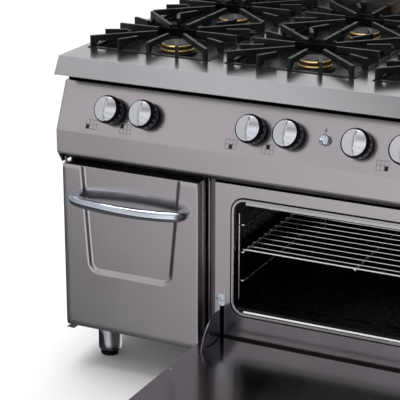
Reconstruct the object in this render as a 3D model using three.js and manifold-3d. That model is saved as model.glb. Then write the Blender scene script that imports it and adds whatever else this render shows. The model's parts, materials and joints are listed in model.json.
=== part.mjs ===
// Freestanding six-burner gas range: a storage cupboard on the left, a gas oven on the right,
// a sloping control panel above them and a hob with three pairs of burners on top.
// Millimetres, +Z up, front towards -Y. Inside the range group, x is measured from the middle,
// y from the front plane of the oven body and z from the floor.

import * as THREE from 'three';
import { mergeVertices } from 'three/addons/utils/BufferGeometryUtils.js';
import Module from 'manifold-3d';

const wasm = await Module();
wasm.setup();

// ---- driving dimensions ----
const WIDTH = 1200;
const HALF = WIDTH / 2;
const SECTION = 400; // one pair of burners
const WORKTOP_Z = 870;
const FRONT_Y = -73; // foremost line of the apron
const DEPTH = 900;
const BACK_Y = FRONT_Y + DEPTH;
const BODY_BOTTOM_Z = 110;
const BODY_BACK_Y = 808;
const SHEET = 3;
const GAP = 0.3; // clearance between touching pieces
const FLUE_HEIGHT = 80;

// control panel outline, [y, z]
const PANEL_TOP = [-15, 798];
const PANEL_CREASE = [-69.5, 676];
const PANEL_FOOT = [-69.5, 616.5];
const APRON_TOP_Y = -46;
const APRON_FOOT_Z = 824.5;

// fronts
const SPLIT_X = -190; // between cupboard and oven
const DOOR_FRONT_Y = -48;
const DOOR_BACK_Y = -3;
const DOOR_Z = [116, 578.5];
const CUPBOARD_DOOR_X = [-598, -196];
const OVEN_DOOR_X = [-188.5, 598.5];
const CUPBOARD_HINGE = [-590, -40]; // cupboard door axis, [x, y]
const HINGE_SLOT_TOP = 236;
// arm of the oven door hinge: a sector about the door's axis
const ARM = { radius: 100, heel: [[14, 9], [20, -12]], start: Math.asin(-0.12), end: Math.acos(0.14) };
const HANDLE_Z = 489;
const HANDLE_RADIUS = 15;
const HANDLE_INSET = 40; // of the handle's ends from the door's edges
const HANDLE_REACH = 50; // middle of the bow in front of the door
// bow of a handle: [fraction of half its length, reach in front of the door]
const HANDLE_STATIONS = [
  [-1, 0], [-0.985, 14], [-0.9, 27], [-0.5, HANDLE_REACH - 7], [0, HANDLE_REACH],
  [0.5, HANDLE_REACH - 7], [0.9, 27], [0.985, 14], [1, 0],
];
const DOOR_SHEET = 4;
const DOOR_FLANGE = 22; // folded lip round the back of the cupboard door
const LINER_FRONT_Y = -10;
const LINER_FLAT_Y = -7;
const DOOR_HINGE = [-27, 128]; // oven door axis, [y, z]

// oven
const OVEN_X = 205; // middle of the oven
const MOUTH = { half: 321, low: 222, high: 531, corner: 30 };
const CAVITY = { half: 329, low: 212, high: 536, back: 700 };
const TRIM_WIDTH = 10;
const RUNNER_HEIGHTS = [299, 378, 454];
const RUNNER_HALF = 309;
const RUNNER_Y = [36, 640];
const WIRE = 3;
const RACK_Z = 387;
const RACK_BACK_Y = 600;
const RACK_PITCH = 35.8;
const RACK_BARS = 15;

// hob
const BURNER_Y = [241, 597];
const GRID_HALF_X = 177.5;
const GRID_HALF_Y = 175;
const GRID_TOP_Z = 901;
const LEDGE_Z = 862;
const BOWL_Z = 836;
const CUTOUT = { half: 179, front: 64, back: 778 };
const BOWL_HALF = 161;
const TRAY_SHEET = 3;
const TRAY_LEDGE_SHEET = 4;
const CUP_HOLE_RADIUS = 54;
const KNOB_OFFSETS = [-45, 55];
const OVEN_KNOB_X = 234;
const IGNITER_X = 147;

// legs
const LEG_X = 525;
const LEG_Y = [62, 745];
const LEG_RADIUS = 32;

const FINISHES = {
  steel: new THREE.MeshStandardMaterial({ color: 0xa9a6ab, roughness: 0.35, metalness: 0.9 }),
  chrome: new THREE.MeshStandardMaterial({ color: 0xc4c8cf, roughness: 0.12, metalness: 1 }),
  enamel: new THREE.MeshStandardMaterial({ color: 0x17161a, roughness: 0.3, metalness: 0.1 }),
  castIron: new THREE.MeshStandardMaterial({ color: 0x222225, roughness: 0.6, metalness: 0.4 }),
  brass: new THREE.MeshStandardMaterial({ color: 0xb9924a, roughness: 0.35, metalness: 0.9 }),
  plastic: new THREE.MeshStandardMaterial({ color: 0x0c0c0e, roughness: 0.3, metalness: 0 }),
};

// ---- shape helpers ----
const X_AXIS = new THREE.Vector3(1, 0, 0);
const Y_AXIS = new THREE.Vector3(0, 1, 0);
const Z_AXIS = new THREE.Vector3(0, 0, 1);

function block([x0, x1], [y0, y1], [z0, z1]) {
  const geometry = new THREE.BoxGeometry(x1 - x0, y1 - y0, z1 - z0);
  return geometry.translate((x0 + x1) / 2, (y0 + y1) / 2, (z0 + z1) / 2);
}

function rod(from, to, radius, sides = 8) {
  const start = new THREE.Vector3(...from);
  const along = new THREE.Vector3(...to).sub(start);
  const geometry = new THREE.CylinderGeometry(radius, radius, along.length(), sides);
  geometry.translate(0, along.length() / 2, 0);
  geometry.applyQuaternion(new THREE.Quaternion().setFromUnitVectors(Y_AXIS, along.normalize()));
  return geometry.translate(start.x, start.y, start.z);
}

function extrude(points, depth) {
  const shape = new THREE.Shape(points.map(([a, b]) => new THREE.Vector2(a, b)));
  return new THREE.ExtrudeGeometry(shape, { depth, bevelEnabled: false });
}

// an outline in [y, z] drawn out along x
function alongX(points, x0, x1) {
  const geometry = extrude(points, x1 - x0);
  geometry.applyMatrix4(new THREE.Matrix4().makeBasis(Y_AXIS, Z_AXIS, X_AXIS));
  return geometry.translate(x0, 0, 0);
}

// an outline in [x, z] drawn out along y
function alongY(points, y0, y1) {
  const geometry = extrude(points, y1 - y0);
  geometry.applyMatrix4(new THREE.Matrix4().makeBasis(X_AXIS, Z_AXIS, new THREE.Vector3(0, -1, 0)));
  return geometry.translate(0, y1, 0);
}

function roundedRectangle([x0, x1], [z0, z1], radius, steps = 4) {
  const corners = [[x1, z0, -1, 1], [x1, z1, -1, -1], [x0, z1, 1, -1], [x0, z0, 1, 1]];
  return corners.flatMap(([x, z, inX, inZ], corner) => {
    const start = -Math.PI / 2 + (corner * Math.PI) / 2;
    return Array.from({ length: steps + 1 }, (_, i) => {
      const angle = start + (i / steps) * (Math.PI / 2);
      return [x + inX * radius + radius * Math.cos(angle), z + inZ * radius + radius * Math.sin(angle)];
    });
  });
}

// a turned shape about +z from [radius, z] pairs
function turned(profile, segments) {
  const points = profile.map(([radius, height]) => new THREE.Vector2(radius, height));
  return new THREE.LatheGeometry(points, segments).rotateX(Math.PI / 2);
}

function solidOf(geometry) {
  const bare = geometry.clone();
  bare.deleteAttribute('normal');
  bare.deleteAttribute('uv');
  const welded = mergeVertices(bare, 1e-3);
  const corners = welded.index.array;
  const kept = [];
  for (let i = 0; i < corners.length; i += 3) {
    const [a, b, c] = [corners[i], corners[i + 1], corners[i + 2]];
    if (a !== b && b !== c && c !== a) kept.push(a, b, c);
  }
  const vertProperties = new Float32Array(welded.attributes.position.array);
  return new wasm.Manifold(new wasm.Mesh({ numProp: 3, vertProperties, triVerts: new Uint32Array(kept) }));
}

function geometryOf(solid) {
  const mesh = solid.getMesh();
  const geometry = new THREE.BufferGeometry();
  geometry.setAttribute('position', new THREE.BufferAttribute(new Float32Array(mesh.vertProperties), 3));
  geometry.setIndex(new THREE.BufferAttribute(new Uint32Array(mesh.triVerts), 1));
  geometry.computeVertexNormals();
  return geometry;
}

function join(pieces) {
  return geometryOf(pieces.map(solidOf).reduce((whole, piece) => whole.add(piece)));
}

function cut(body, tools) {
  return geometryOf(tools.map(solidOf).reduce((rest, tool) => rest.subtract(tool), solidOf(body)));
}

// ---- the assembly ----
const doorTipY = DOOR_HINGE[0] - (DOOR_Z[1] - DOOR_HINGE[1]);
const model = new THREE.Group();
const range = new THREE.Group();
range.position.y = -(BACK_Y + doorTipY) / 2;
model.add(range);

function part(name, geometry, finish, parent = range) {
  const mesh = new THREE.Mesh(geometry, finish);
  mesh.name = name;
  parent.add(mesh);
  return mesh;
}

// sloping face of the control panel: a group whose +z points out of the panel
const tilt = Math.atan2(PANEL_TOP[0] - PANEL_CREASE[0], PANEL_TOP[1] - PANEL_CREASE[1]);
const panelMiddle = [(PANEL_TOP[0] + PANEL_CREASE[0]) / 2, (PANEL_TOP[1] + PANEL_CREASE[1]) / 2];

function panelGroup(x) {
  const group = new THREE.Group();
  group.position.set(x, panelMiddle[0], panelMiddle[1]);
  group.rotation.x = Math.PI / 2 - tilt;
  range.add(group);
  return group;
}

function onPanel(geometry, x) {
  geometry.rotateX(Math.PI / 2 - tilt);
  return geometry.translate(x, panelMiddle[0], panelMiddle[1]);
}

// ---- carcass ----
function buildSides() {
  const outline = [
    [0, BODY_BOTTOM_Z], [BODY_BACK_Y, BODY_BOTTOM_Z], [BODY_BACK_Y, APRON_FOOT_Z - GAP],
    [0, APRON_FOOT_Z - GAP], [0, PANEL_TOP[1]], PANEL_TOP, PANEL_CREASE, PANEL_FOOT,
    [APRON_TOP_Y, 582], [0, 582],
  ];
  part('side_panel_left', alongX(outline, -HALF, SHEET - HALF), FINISHES.steel);
  part('side_panel_right', alongX(outline, HALF - SHEET, HALF), FINISHES.steel);
}

function buildCarcass() {
  const inner = HALF - SHEET - GAP;
  const backZ = [BODY_BOTTOM_Z, APRON_FOOT_Z - GAP];
  const backPanel = block([-inner, inner], [BODY_BACK_Y - SHEET, BODY_BACK_Y], backZ);
  const pipeHole = rod([INLET_X, 790, TAP_RAIL[1]], [INLET_X, 820, TAP_RAIL[1]], 15, 16);
  part('back_panel', cut(backPanel, [pipeHole]), FINISHES.steel);
  const backLimit = BODY_BACK_Y - SHEET - GAP;
  const floorTop = BODY_BOTTOM_Z + SHEET;
  part('bottom_panel', block([-inner, inner], [5, backLimit], [BODY_BOTTOM_Z, floorTop]), FINISHES.steel);
  const divider = block([SPLIT_X - SHEET, SPLIT_X], [5, backLimit], [floorTop + GAP, 690]);
  part('divider_panel', divider, FINISHES.steel);
}

function buildLegs() {
  const profile = [[0, 0], [24, 0], [26, 4], [26, 10], [22, 12], [22, 16], [LEG_RADIUS, 18],
    [LEG_RADIUS, 109 - GAP], [0, 109 - GAP]];
  const corners = [['front_left', -LEG_X, 0], ['front_right', LEG_X, 0], ['rear_left', -LEG_X, 1],
    ['rear_right', LEG_X, 1]];
  for (const [corner, x, row] of corners) {
    part(`leg_${corner}`, turned(profile, 16), FINISHES.chrome).position.set(x, LEG_Y[row], 0);
  }
}

// ---- control panel ----
const knobs = [-1, 0, 1].flatMap((section) => KNOB_OFFSETS.map((offset) => section * SECTION + offset));
const TAP_DEPTH = 50; // gas rail behind the panel face
const TAP_RAIL = [
  panelMiddle[0] + TAP_DEPTH * Math.cos(tilt),
  panelMiddle[1] - TAP_DEPTH * Math.sin(tilt),
];
const INLET_X = 560;

function buildControlPanel() {
  const outline = [
    [14, 798], PANEL_TOP, PANEL_CREASE, PANEL_FOOT, [-50, 616.5], [-50, 619], [-67, 619],
    [-67, 676.5], [-13.4, 795.5], [14, 795.5],
  ];
  const inner = HALF - SHEET - GAP;
  const holes = [...knobs, OVEN_KNOB_X, IGNITER_X].map((x) => {
    return onPanel(new THREE.CylinderGeometry(7, 7, 30, 12).rotateX(Math.PI / 2), x);
  });
  part('control_panel', cut(alongX(outline, -inner, inner), holes), FINISHES.steel);
  const valance = [[-66, 614.5], [-4, 584], [-4, 581], [-66, 611.5]];
  part('lower_valance', alongX(valance, -inner, inner), FINISHES.enamel);
}

function buildKnobs() {
  const names = knobs.map((_, i) => `knob_burner_${i + 1}`);
  const profile = [
    [0, 14], [4.4, 14], [4.4, 1], [34, 1], [37, 8], [37, 33], [35.5, 36], [33.5, 36], [33.5, 40],
    [32, 41.5], [0, 41.5],
  ];
  [...names, 'knob_oven'].forEach((name, i) => {
    const grip = block([-6, 9], [-31, 31], [30, 49]);
    const body = join([turned(profile, 20), grip]);
    part(name, body, FINISHES.plastic, panelGroup([...knobs, OVEN_KNOB_X][i]));
  });
  const button = turned([[0, -16], [5, -16], [5, 6], [13.5, 6], [13.5, 11], [11, 13.5], [0, 14]], 20);
  part('igniter_button', button, FINISHES.chrome, panelGroup(IGNITER_X));
}

function buildGasRail() {
  const pieces = [
    rod([-570, ...TAP_RAIL], [INLET_X + 10, ...TAP_RAIL], 11, 10),
    rod([INLET_X, ...TAP_RAIL], [INLET_X, BACK_Y - 4, TAP_RAIL[1]], 13, 10),
  ];
  for (const x of [...knobs, OVEN_KNOB_X]) {
    const tap = turned([[0, -66], [14, -66], [14, -8], [4, -8], [4, 12], [0, 12]], 8);
    pieces.push(onPanel(tap, x));
  }
  part('gas_rail', join(pieces), FINISHES.brass);
}

// ---- hob ----
// A pressed sheet: deck, slanting apron with a folded lip, and skirts at the ends and back.
function buildWorktop() {
  const sheet = 4;
  const lip = FRONT_Y + 12;
  const outside = [
    [APRON_TOP_Y, WORKTOP_Z], [FRONT_Y, APRON_FOOT_Z], [BACK_Y, APRON_FOOT_Z], [BACK_Y, WORKTOP_Z],
  ];
  const inside = [
    [lip, APRON_FOOT_Z - 5], [BACK_Y - sheet, APRON_FOOT_Z - 5], [BACK_Y - sheet, WORKTOP_Z - sheet],
    [APRON_TOP_Y + 2.4, WORKTOP_Z - sheet], [FRONT_Y + 6.5, APRON_FOOT_Z + sheet],
    [lip, APRON_FOOT_Z + sheet],
  ];
  const cutouts = [-SECTION, 0, SECTION].map((x) => block(
    [x - CUTOUT.half, x + CUTOUT.half], [CUTOUT.front, CUTOUT.back], [WORKTOP_Z - 10, WORKTOP_Z + 10],
  ));
  const under = alongX(inside, SHEET - HALF, HALF - SHEET);
  part('worktop', cut(alongX(outside, -HALF, HALF), [under, ...cutouts]), FINISHES.steel);
}

function buildTrays() {
  const outer = BOWL_HALF + TRAY_SHEET;
  const ledgeLow = LEDGE_Z - TRAY_LEDGE_SHEET;
  ['left', 'middle', 'right'].forEach((side, i) => {
    const x = (i - 1) * SECTION;
    const edge = [x - CUTOUT.half - 7, x + CUTOUT.half + 7];
    const pieces = [block(edge, [CUTOUT.front - 7, CUTOUT.back + 4], [ledgeLow, WORKTOP_Z - 4 - GAP])];
    const tools = [
      block([x - CUTOUT.half, x + CUTOUT.half], [CUTOUT.front, CUTOUT.back], [LEDGE_Z, WORKTOP_Z]),
    ];
    for (const y of BURNER_Y) {
      pieces.push(block([x - outer, x + outer], [y - outer, y + outer], [BOWL_Z - TRAY_SHEET, ledgeLow + 1]));
      tools.push(block([x - BOWL_HALF, x + BOWL_HALF], [y - BOWL_HALF, y + BOWL_HALF], [BOWL_Z, WORKTOP_Z]));
      tools.push(rod([x, y, BOWL_Z - 20], [x, y, BOWL_Z + 10], CUP_HOLE_RADIUS, 12));
    }
    part(`burner_tray_${side}`, cut(join(pieces), tools), FINISHES.enamel);
  });
}

function buildBurners() {
  const cup = [[0, 780], [18, 780], [18, 800], [50, 822], [51, 843], [30, 843], [26, 815], [0, 815]];
  const crown = [[0, 843.3], [46, 843.3], [46.5, 850], [43, 852], [43, 861], [36, 867], [0, 867]];
  let number = 0;
  for (const section of [-1, 0, 1]) {
    for (const y of BURNER_Y) {
      number += 1;
      part(`burner_cup_${number}`, turned(cup, 16), FINISHES.castIron).position.set(section * SECTION, y, 0);
      part(`burner_crown_${number}`, turned(crown, 20), FINISHES.brass).position.set(section * SECTION, y, 0);
      part(`pan_support_${number}`, panSupport(), FINISHES.castIron).position.set(section * SECTION, y, 0);
    }
  }
}

// A cast grid: a square frame, with fingers running from its edge towards the burner.
function panSupport() {
  const low = LEDGE_Z + GAP;
  const frameTop = WORKTOP_Z + 2;
  const bar = 12;
  const across = [-GRID_HALF_X, GRID_HALF_X];
  const deep = [-GRID_HALF_Y, GRID_HALF_Y];
  const pieces = [
    block(across, [-GRID_HALF_Y, bar - GRID_HALF_Y], [low, frameTop]),
    block(across, [GRID_HALF_Y - bar, GRID_HALF_Y], [low, frameTop]),
    block([-GRID_HALF_X, bar - GRID_HALF_X], deep, [low, frameTop]),
    block([GRID_HALF_X - bar, GRID_HALF_X], deep, [low, frameTop]),
  ];
  const steps = [-1, -0.5, 0, 0.5];
  for (let side = 0; side < 4; side += 1) {
    for (const step of steps) {
      pieces.push(finger(side, step));
    }
  }
  return join(pieces);
}

function finger(side, step) {
  const edge = step === -1 ? GRID_HALF_Y - 5 : GRID_HALF_Y;
  const sideways = step * (GRID_HALF_X - 5);
  const reach = Math.hypot(edge, sideways);
  const inner = Math.abs(step) === 0.5 ? reach - 62 : 58;
  const low = LEDGE_Z + 4;
  const outline = [
    [inner, GRID_TOP_Z - 14], [reach - 22, GRID_TOP_Z - 16], [reach - 10, low],
    [reach - 0.4, low], [reach - 0.4, GRID_TOP_Z], [inner, GRID_TOP_Z],
  ];
  const geometry = alongY(outline, -4.5, 4.5);
  return geometry.rotateZ((side * Math.PI) / 2 + Math.atan2(sideways, edge));
}

function buildFlue() {
  const foot = WORKTOP_Z + GAP;
  const top = WORKTOP_Z + FLUE_HEIGHT;
  const outer = block([-592, 592], [783, BACK_Y - 2], [foot, top]);
  const duct = block([-588, 588], [786, BACK_Y - 5], [foot + 4, top + 10]);
  const shell = cut(outer, [duct]);
  const louvres = [-4, -3, -2, -1, 0, 1, 2, 3, 4].map((i) => {
    return block([i * 118 - 4, i * 118 + 4], [785, BACK_Y - 4], [top - 14, top]);
  });
  part('flue_outlet', join([shell, ...louvres]), FINISHES.steel);
}

// ---- oven ----
function buildOvenBody() {
  const mouthX = [OVEN_X - MOUTH.half, OVEN_X + MOUTH.half];
  const mouth = roundedRectangle(mouthX, [MOUTH.low, MOUTH.high], MOUTH.corner);
  const opening = alongY(mouth, -20, 20);
  const slots = [HINGE_X[0], HINGE_X[1]].map((x) => block([x - 6, x + 6], [-20, 20], [110, HINGE_SLOT_TOP]));
  const face = block([SPLIT_X, HALF - SHEET - GAP], [0, SHEET], [119, 573]);
  part('oven_front_frame', cut(face, [opening, ...slots]), FINISHES.steel);

  const ringOuter = roundedRectangle(
    [mouthX[0] - TRIM_WIDTH, mouthX[1] + TRIM_WIDTH], [MOUTH.low - TRIM_WIDTH, MOUTH.high + TRIM_WIDTH],
    MOUTH.corner + TRIM_WIDTH,
  );
  part('oven_mouth_trim', cut(alongY(ringOuter, -2.4, -GAP), [opening]), FINISHES.steel);

  const [left, right] = [OVEN_X - CAVITY.half, OVEN_X + CAVITY.half];
  const front = SHEET + GAP;
  const shellZ = [CAVITY.low - SHEET, CAVITY.high + SHEET];
  const shell = block([left - SHEET, right + SHEET], [front, CAVITY.back], shellZ);
  const hollow = block([left, right], [front - 10, CAVITY.back - SHEET], [CAVITY.low, CAVITY.high]);
  part('oven_cavity', cut(shell, [hollow]), FINISHES.enamel);

  const [plateLeft, plateRight] = [left + GAP, right - GAP];
  const plate = join([
    block([plateLeft, plateRight], [9, 690], [225, 228]),
    block([plateLeft, plateRight], [8, 11], [CAVITY.low + GAP, 234]),
    block([plateLeft, plateRight], [687, 690], [CAVITY.low + GAP, 227]),
  ]);
  const slits = [-2, -1, 0, 1, 2].flatMap((i) => [70, 620].map((y) => {
    return block([OVEN_X + i * 110 - 35, OVEN_X + i * 110 + 35], [y, y + 14], [200, 240]);
  }));
  part('oven_floor_plate', cut(plate, slits), FINISHES.enamel);

  const burner = join([
    rod([OVEN_X - 240, 150, 165], [OVEN_X + 240, 150, 165], 11, 10),
    rod([OVEN_X - 240, 550, 165], [OVEN_X + 240, 550, 165], 11, 10),
    rod([OVEN_X - 235, 145, 165], [OVEN_X - 235, 555, 165], 11, 10),
    rod([OVEN_X + 235, 60, 165], [OVEN_X + 235, 555, 165], 11, 10),
  ]);
  part('oven_burner', burner, FINISHES.castIron);
}

function buildShelves() {
  for (const [side, sign] of [['left', -1], ['right', 1]]) {
    const post = OVEN_X + sign * (CAVITY.half - 6);
    const runner = OVEN_X + sign * RUNNER_HALF;
    const pieces = RUNNER_Y.map((y) => rod([post, y, 245], [post, y, 485], WIRE, 6));
    for (const z of RUNNER_HEIGHTS) {
      pieces.push(rod([runner, RUNNER_Y[0] - WIRE, z], [runner, RUNNER_Y[1] + WIRE, z], WIRE, 6));
      for (const y of RUNNER_Y) {
        pieces.push(rod([post, y, z], [runner, y, z], WIRE - 0.4, 6));
      }
    }
    part(`shelf_ladder_${side}`, join(pieces), FINISHES.chrome);
  }

  const railZ = RUNNER_HEIGHTS[1] + 2 * WIRE + GAP;
  const [left, right] = [OVEN_X - RUNNER_HALF, OVEN_X + RUNNER_HALF];
  const wires = [
    rod([left, RUNNER_Y[0] - 2, railZ], [left, RACK_BACK_Y + 2, railZ], WIRE, 6),
    rod([right, RUNNER_Y[0] - 2, railZ], [right, RACK_BACK_Y + 2, railZ], WIRE, 6),
    rod([OVEN_X, RUNNER_Y[0], railZ], [OVEN_X, RACK_BACK_Y, railZ], WIRE, 6),
    rod([left - 2, RUNNER_Y[0], RACK_Z], [right + 2, RUNNER_Y[0], RACK_Z], WIRE, 6),
    rod([left - 2, RACK_BACK_Y, RACK_Z], [right + 2, RACK_BACK_Y, RACK_Z], WIRE, 6),
  ];
  for (let i = 0; i < RACK_BARS; i += 1) {
    const y = RUNNER_Y[0] + 27 + i * RACK_PITCH;
    wires.push(rod([left - 2, y, RACK_Z], [right + 2, y, RACK_Z], WIRE - 0.7, 6));
  }
  part('oven_rack', join(wires), FINISHES.chrome);
}

// ---- doors ----
const HINGE_X = [OVEN_X - 355, OVEN_X + 355];

function bowHandle([x0, x1]) {
  const middle = (x0 + x1) / 2;
  const half = (x1 - x0) / 2;
  const base = DOOR_FRONT_Y - GAP;
  const shape = new THREE.Shape();
  shape.absarc(0, 0, HANDLE_RADIUS, 0, 2 * Math.PI);
  const path = new THREE.CatmullRomCurve3(HANDLE_STATIONS.map(([across, reach]) => {
    return new THREE.Vector3(middle + across * half, base - reach, HANDLE_Z);
  }));
  const geometry = new THREE.ExtrudeGeometry(shape, { steps: 16, curveSegments: 6, extrudePath: path });
  const door = block([x0 - 100, x1 + 100], [base, base + 60], [HANDLE_Z - 60, HANDLE_Z + 60]);
  return cut(geometry, [door]);
}

function buildCupboardDoor() {
  const [x0, x1] = CUPBOARD_DOOR_X;
  const outline = roundedRectangle(CUPBOARD_DOOR_X, DOOR_Z, 4, 2);
  const leaf = alongY(outline, DOOR_FRONT_Y, DOOR_BACK_Y);
  const within = (margin) => [[x0 + margin, x1 - margin], [DOOR_Z[0] + margin, DOOR_Z[1] - margin]];
  const [insideX, insideZ] = within(SHEET);
  const inside = block(insideX, [DOOR_FRONT_Y + DOOR_SHEET, DOOR_BACK_Y - SHEET], insideZ);
  const [windowX, windowZ] = within(DOOR_FLANGE);
  const window = block(windowX, [DOOR_BACK_Y - 2 * SHEET, DOOR_BACK_Y + SHEET], windowZ);
  part('cupboard_door', cut(leaf, [inside, window]), FINISHES.steel);
  part('cupboard_handle', bowHandle([x0 + HANDLE_INSET, x1 - HANDLE_INSET]), FINISHES.chrome);
  const [pinX, pinY] = CUPBOARD_HINGE;
  part('cupboard_hinge_upper', rod([pinX, pinY, DOOR_Z[1] + GAP], [pinX, pinY, 596], 4, 12), FINISHES.chrome);
  const lower = join([
    rod([pinX, pinY, BODY_BOTTOM_Z - 2], [pinX, pinY, DOOR_Z[0] - GAP], 4, 12),
    block([pinX - 7, pinX + 15], [DOOR_FRONT_Y, 60], [BODY_BOTTOM_Z - 3.6, BODY_BOTTOM_Z - GAP]),
  ]);
  part('cupboard_hinge_lower', lower, FINISHES.chrome);
}

function buildOvenDoor() {
  const door = new THREE.Group();
  door.position.set(0, DOOR_HINGE[0], DOOR_HINGE[1]);
  door.rotation.x = Math.PI / 2;
  range.add(door);
  const place = (geometry) => geometry.translate(0, -DOOR_HINGE[0], -DOOR_HINGE[1]);

  const [x0, x1] = OVEN_DOOR_X;
  const outline = roundedRectangle(OVEN_DOOR_X, DOOR_Z, 4, 2);
  const pan = alongY(outline, DOOR_FRONT_Y, LINER_FRONT_Y - GAP);
  const insideZ = [DOOR_Z[0] + SHEET, DOOR_Z[1] - SHEET];
  const inside = block([x0 + SHEET, x1 - SHEET], [DOOR_FRONT_Y + DOOR_SHEET, 0], insideZ);
  part('oven_door_shell', place(cut(pan, [inside])), FINISHES.steel, door);
  const linerEdge = roundedRectangle([x0 + 2, x1 - 2], [DOOR_Z[0], DOOR_Z[1] - 2], 4, 2);
  const raised = roundedRectangle([OVEN_X - 350, OVEN_X + 350], [151, 548], 38);
  const slots = HINGE_X.map((x) => block([x - 4, x + 4], [-30, 20], [DOOR_Z[0] - 10, HINGE_SLOT_TOP]));
  const liner = cut(join([
    alongY(linerEdge, LINER_FRONT_Y, LINER_FLAT_Y),
    alongY(raised, LINER_FLAT_Y - 1, DOOR_BACK_Y),
  ]), slots);
  part('oven_door_liner', place(liner), FINISHES.steel, door);
  part('oven_door_handle', place(bowHandle([x0 + HANDLE_INSET, x1 - HANDLE_INSET])), FINISHES.chrome, door);

  // Each hinge plate is a quadrant about the door's axis, which swings through a slot in the oven front.
  ['left', 'right'].forEach((side, i) => {
    const quadrant = [...ARM.heel, ...Array.from({ length: 10 }, (_, k) => {
      const angle = ARM.start + (k / 9) * (ARM.end - ARM.start);
      return [ARM.radius * Math.cos(angle), ARM.radius * Math.sin(angle)];
    })];
    part(`oven_hinge_${side}`, alongX(quadrant, HINGE_X[i] - 2, HINGE_X[i] + 2), FINISHES.steel, door);
  });
}

buildSides();
buildCarcass();
buildLegs();
buildControlPanel();
buildKnobs();
buildGasRail();
buildWorktop();
buildTrays();
buildBurners();
buildFlue();
buildOvenBody();
buildShelves();
buildCupboardDoor();
buildOvenDoor();

export default model;
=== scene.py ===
"""Looks of a freestanding six-burner gas range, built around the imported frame.

Metres, +Z up, front towards -Y, x from the middle of the range. Depths called `depth` are measured
back from the oven front, so a negative depth stands in front of it.
"""

import json
import logging
import math
from collections.abc import Callable, Iterable, Sequence
from dataclasses import dataclass
from enum import Enum
from typing import TypeVar

import bmesh
import bpy
from mathutils import Euler, Matrix, Vector

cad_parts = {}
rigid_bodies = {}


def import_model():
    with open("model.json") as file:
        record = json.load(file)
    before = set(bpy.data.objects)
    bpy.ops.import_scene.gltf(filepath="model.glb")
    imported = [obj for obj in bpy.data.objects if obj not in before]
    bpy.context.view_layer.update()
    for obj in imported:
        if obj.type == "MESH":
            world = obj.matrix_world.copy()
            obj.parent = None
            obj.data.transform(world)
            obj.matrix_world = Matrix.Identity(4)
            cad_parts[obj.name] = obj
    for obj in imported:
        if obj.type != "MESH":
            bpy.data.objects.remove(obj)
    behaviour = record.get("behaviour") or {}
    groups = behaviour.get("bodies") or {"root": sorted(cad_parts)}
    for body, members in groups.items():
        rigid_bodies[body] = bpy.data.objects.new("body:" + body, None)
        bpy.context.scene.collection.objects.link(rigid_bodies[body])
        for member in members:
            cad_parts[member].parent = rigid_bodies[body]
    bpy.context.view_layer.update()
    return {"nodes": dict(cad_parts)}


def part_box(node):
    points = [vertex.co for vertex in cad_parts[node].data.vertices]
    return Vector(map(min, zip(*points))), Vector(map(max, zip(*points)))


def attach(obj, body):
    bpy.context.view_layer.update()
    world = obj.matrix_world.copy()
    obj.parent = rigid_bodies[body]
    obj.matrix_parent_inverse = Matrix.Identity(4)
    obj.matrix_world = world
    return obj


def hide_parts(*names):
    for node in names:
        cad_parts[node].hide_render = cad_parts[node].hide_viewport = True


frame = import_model()

LOG = logging.getLogger("range")
MM = 0.001
WELD = 0.02 * MM
LEVEL_WEIGHT = 90
FLAT_ANGLE = math.radians(1.0)
SHARP_ANGLE = math.radians(32.0)
SOFTENED_ANGLE = math.radians(20.0)
OVEN_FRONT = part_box("oven_front_frame")[0].y

OVEN_MIDDLE = 205.0
HINGE_OFFSET = 355.0
HANDLE_INSET = 40.0

Point = tuple[float, float, float]
Colour = tuple[float, float, float]
GridPoint = TypeVar("GridPoint", Vector, bmesh.types.BMVert)


def spot(x: float, depth: float, z: float) -> Vector:
    """A point in metres from millimetres across, back from the oven front, and up."""
    return Vector((x * MM, OVEN_FRONT + depth * MM, z * MM))


class Grain(Enum):
    """The way that a brushed sheet's fine lines run, as lines per metre along each axis."""

    ACROSS = (9.0, 1500.0, 1500.0)
    DEEP = (1500.0, 9.0, 1500.0)
    UPRIGHT = (1500.0, 1500.0, 9.0)
    EVEN = (260.0, 260.0, 260.0)


class Slot(Enum):
    """The record's material slots."""

    STAINLESS = "stainless"
    CHROME = "chrome"
    ENAMEL = "black_enamel"
    IRON = "cast_iron"
    BRASS = "brass"
    PLASTIC = "black_plastic"


# ---- finishes ----
def set_range(node: bpy.types.Node, source: tuple[float, float], result: tuple[float, float]) -> None:
    """Sets both ranges of a Map Range node."""
    for name, number in zip(("From Min", "From Max", "To Min", "To Max"), (*source, *result)):
        node.inputs[name].default_value = number


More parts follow.
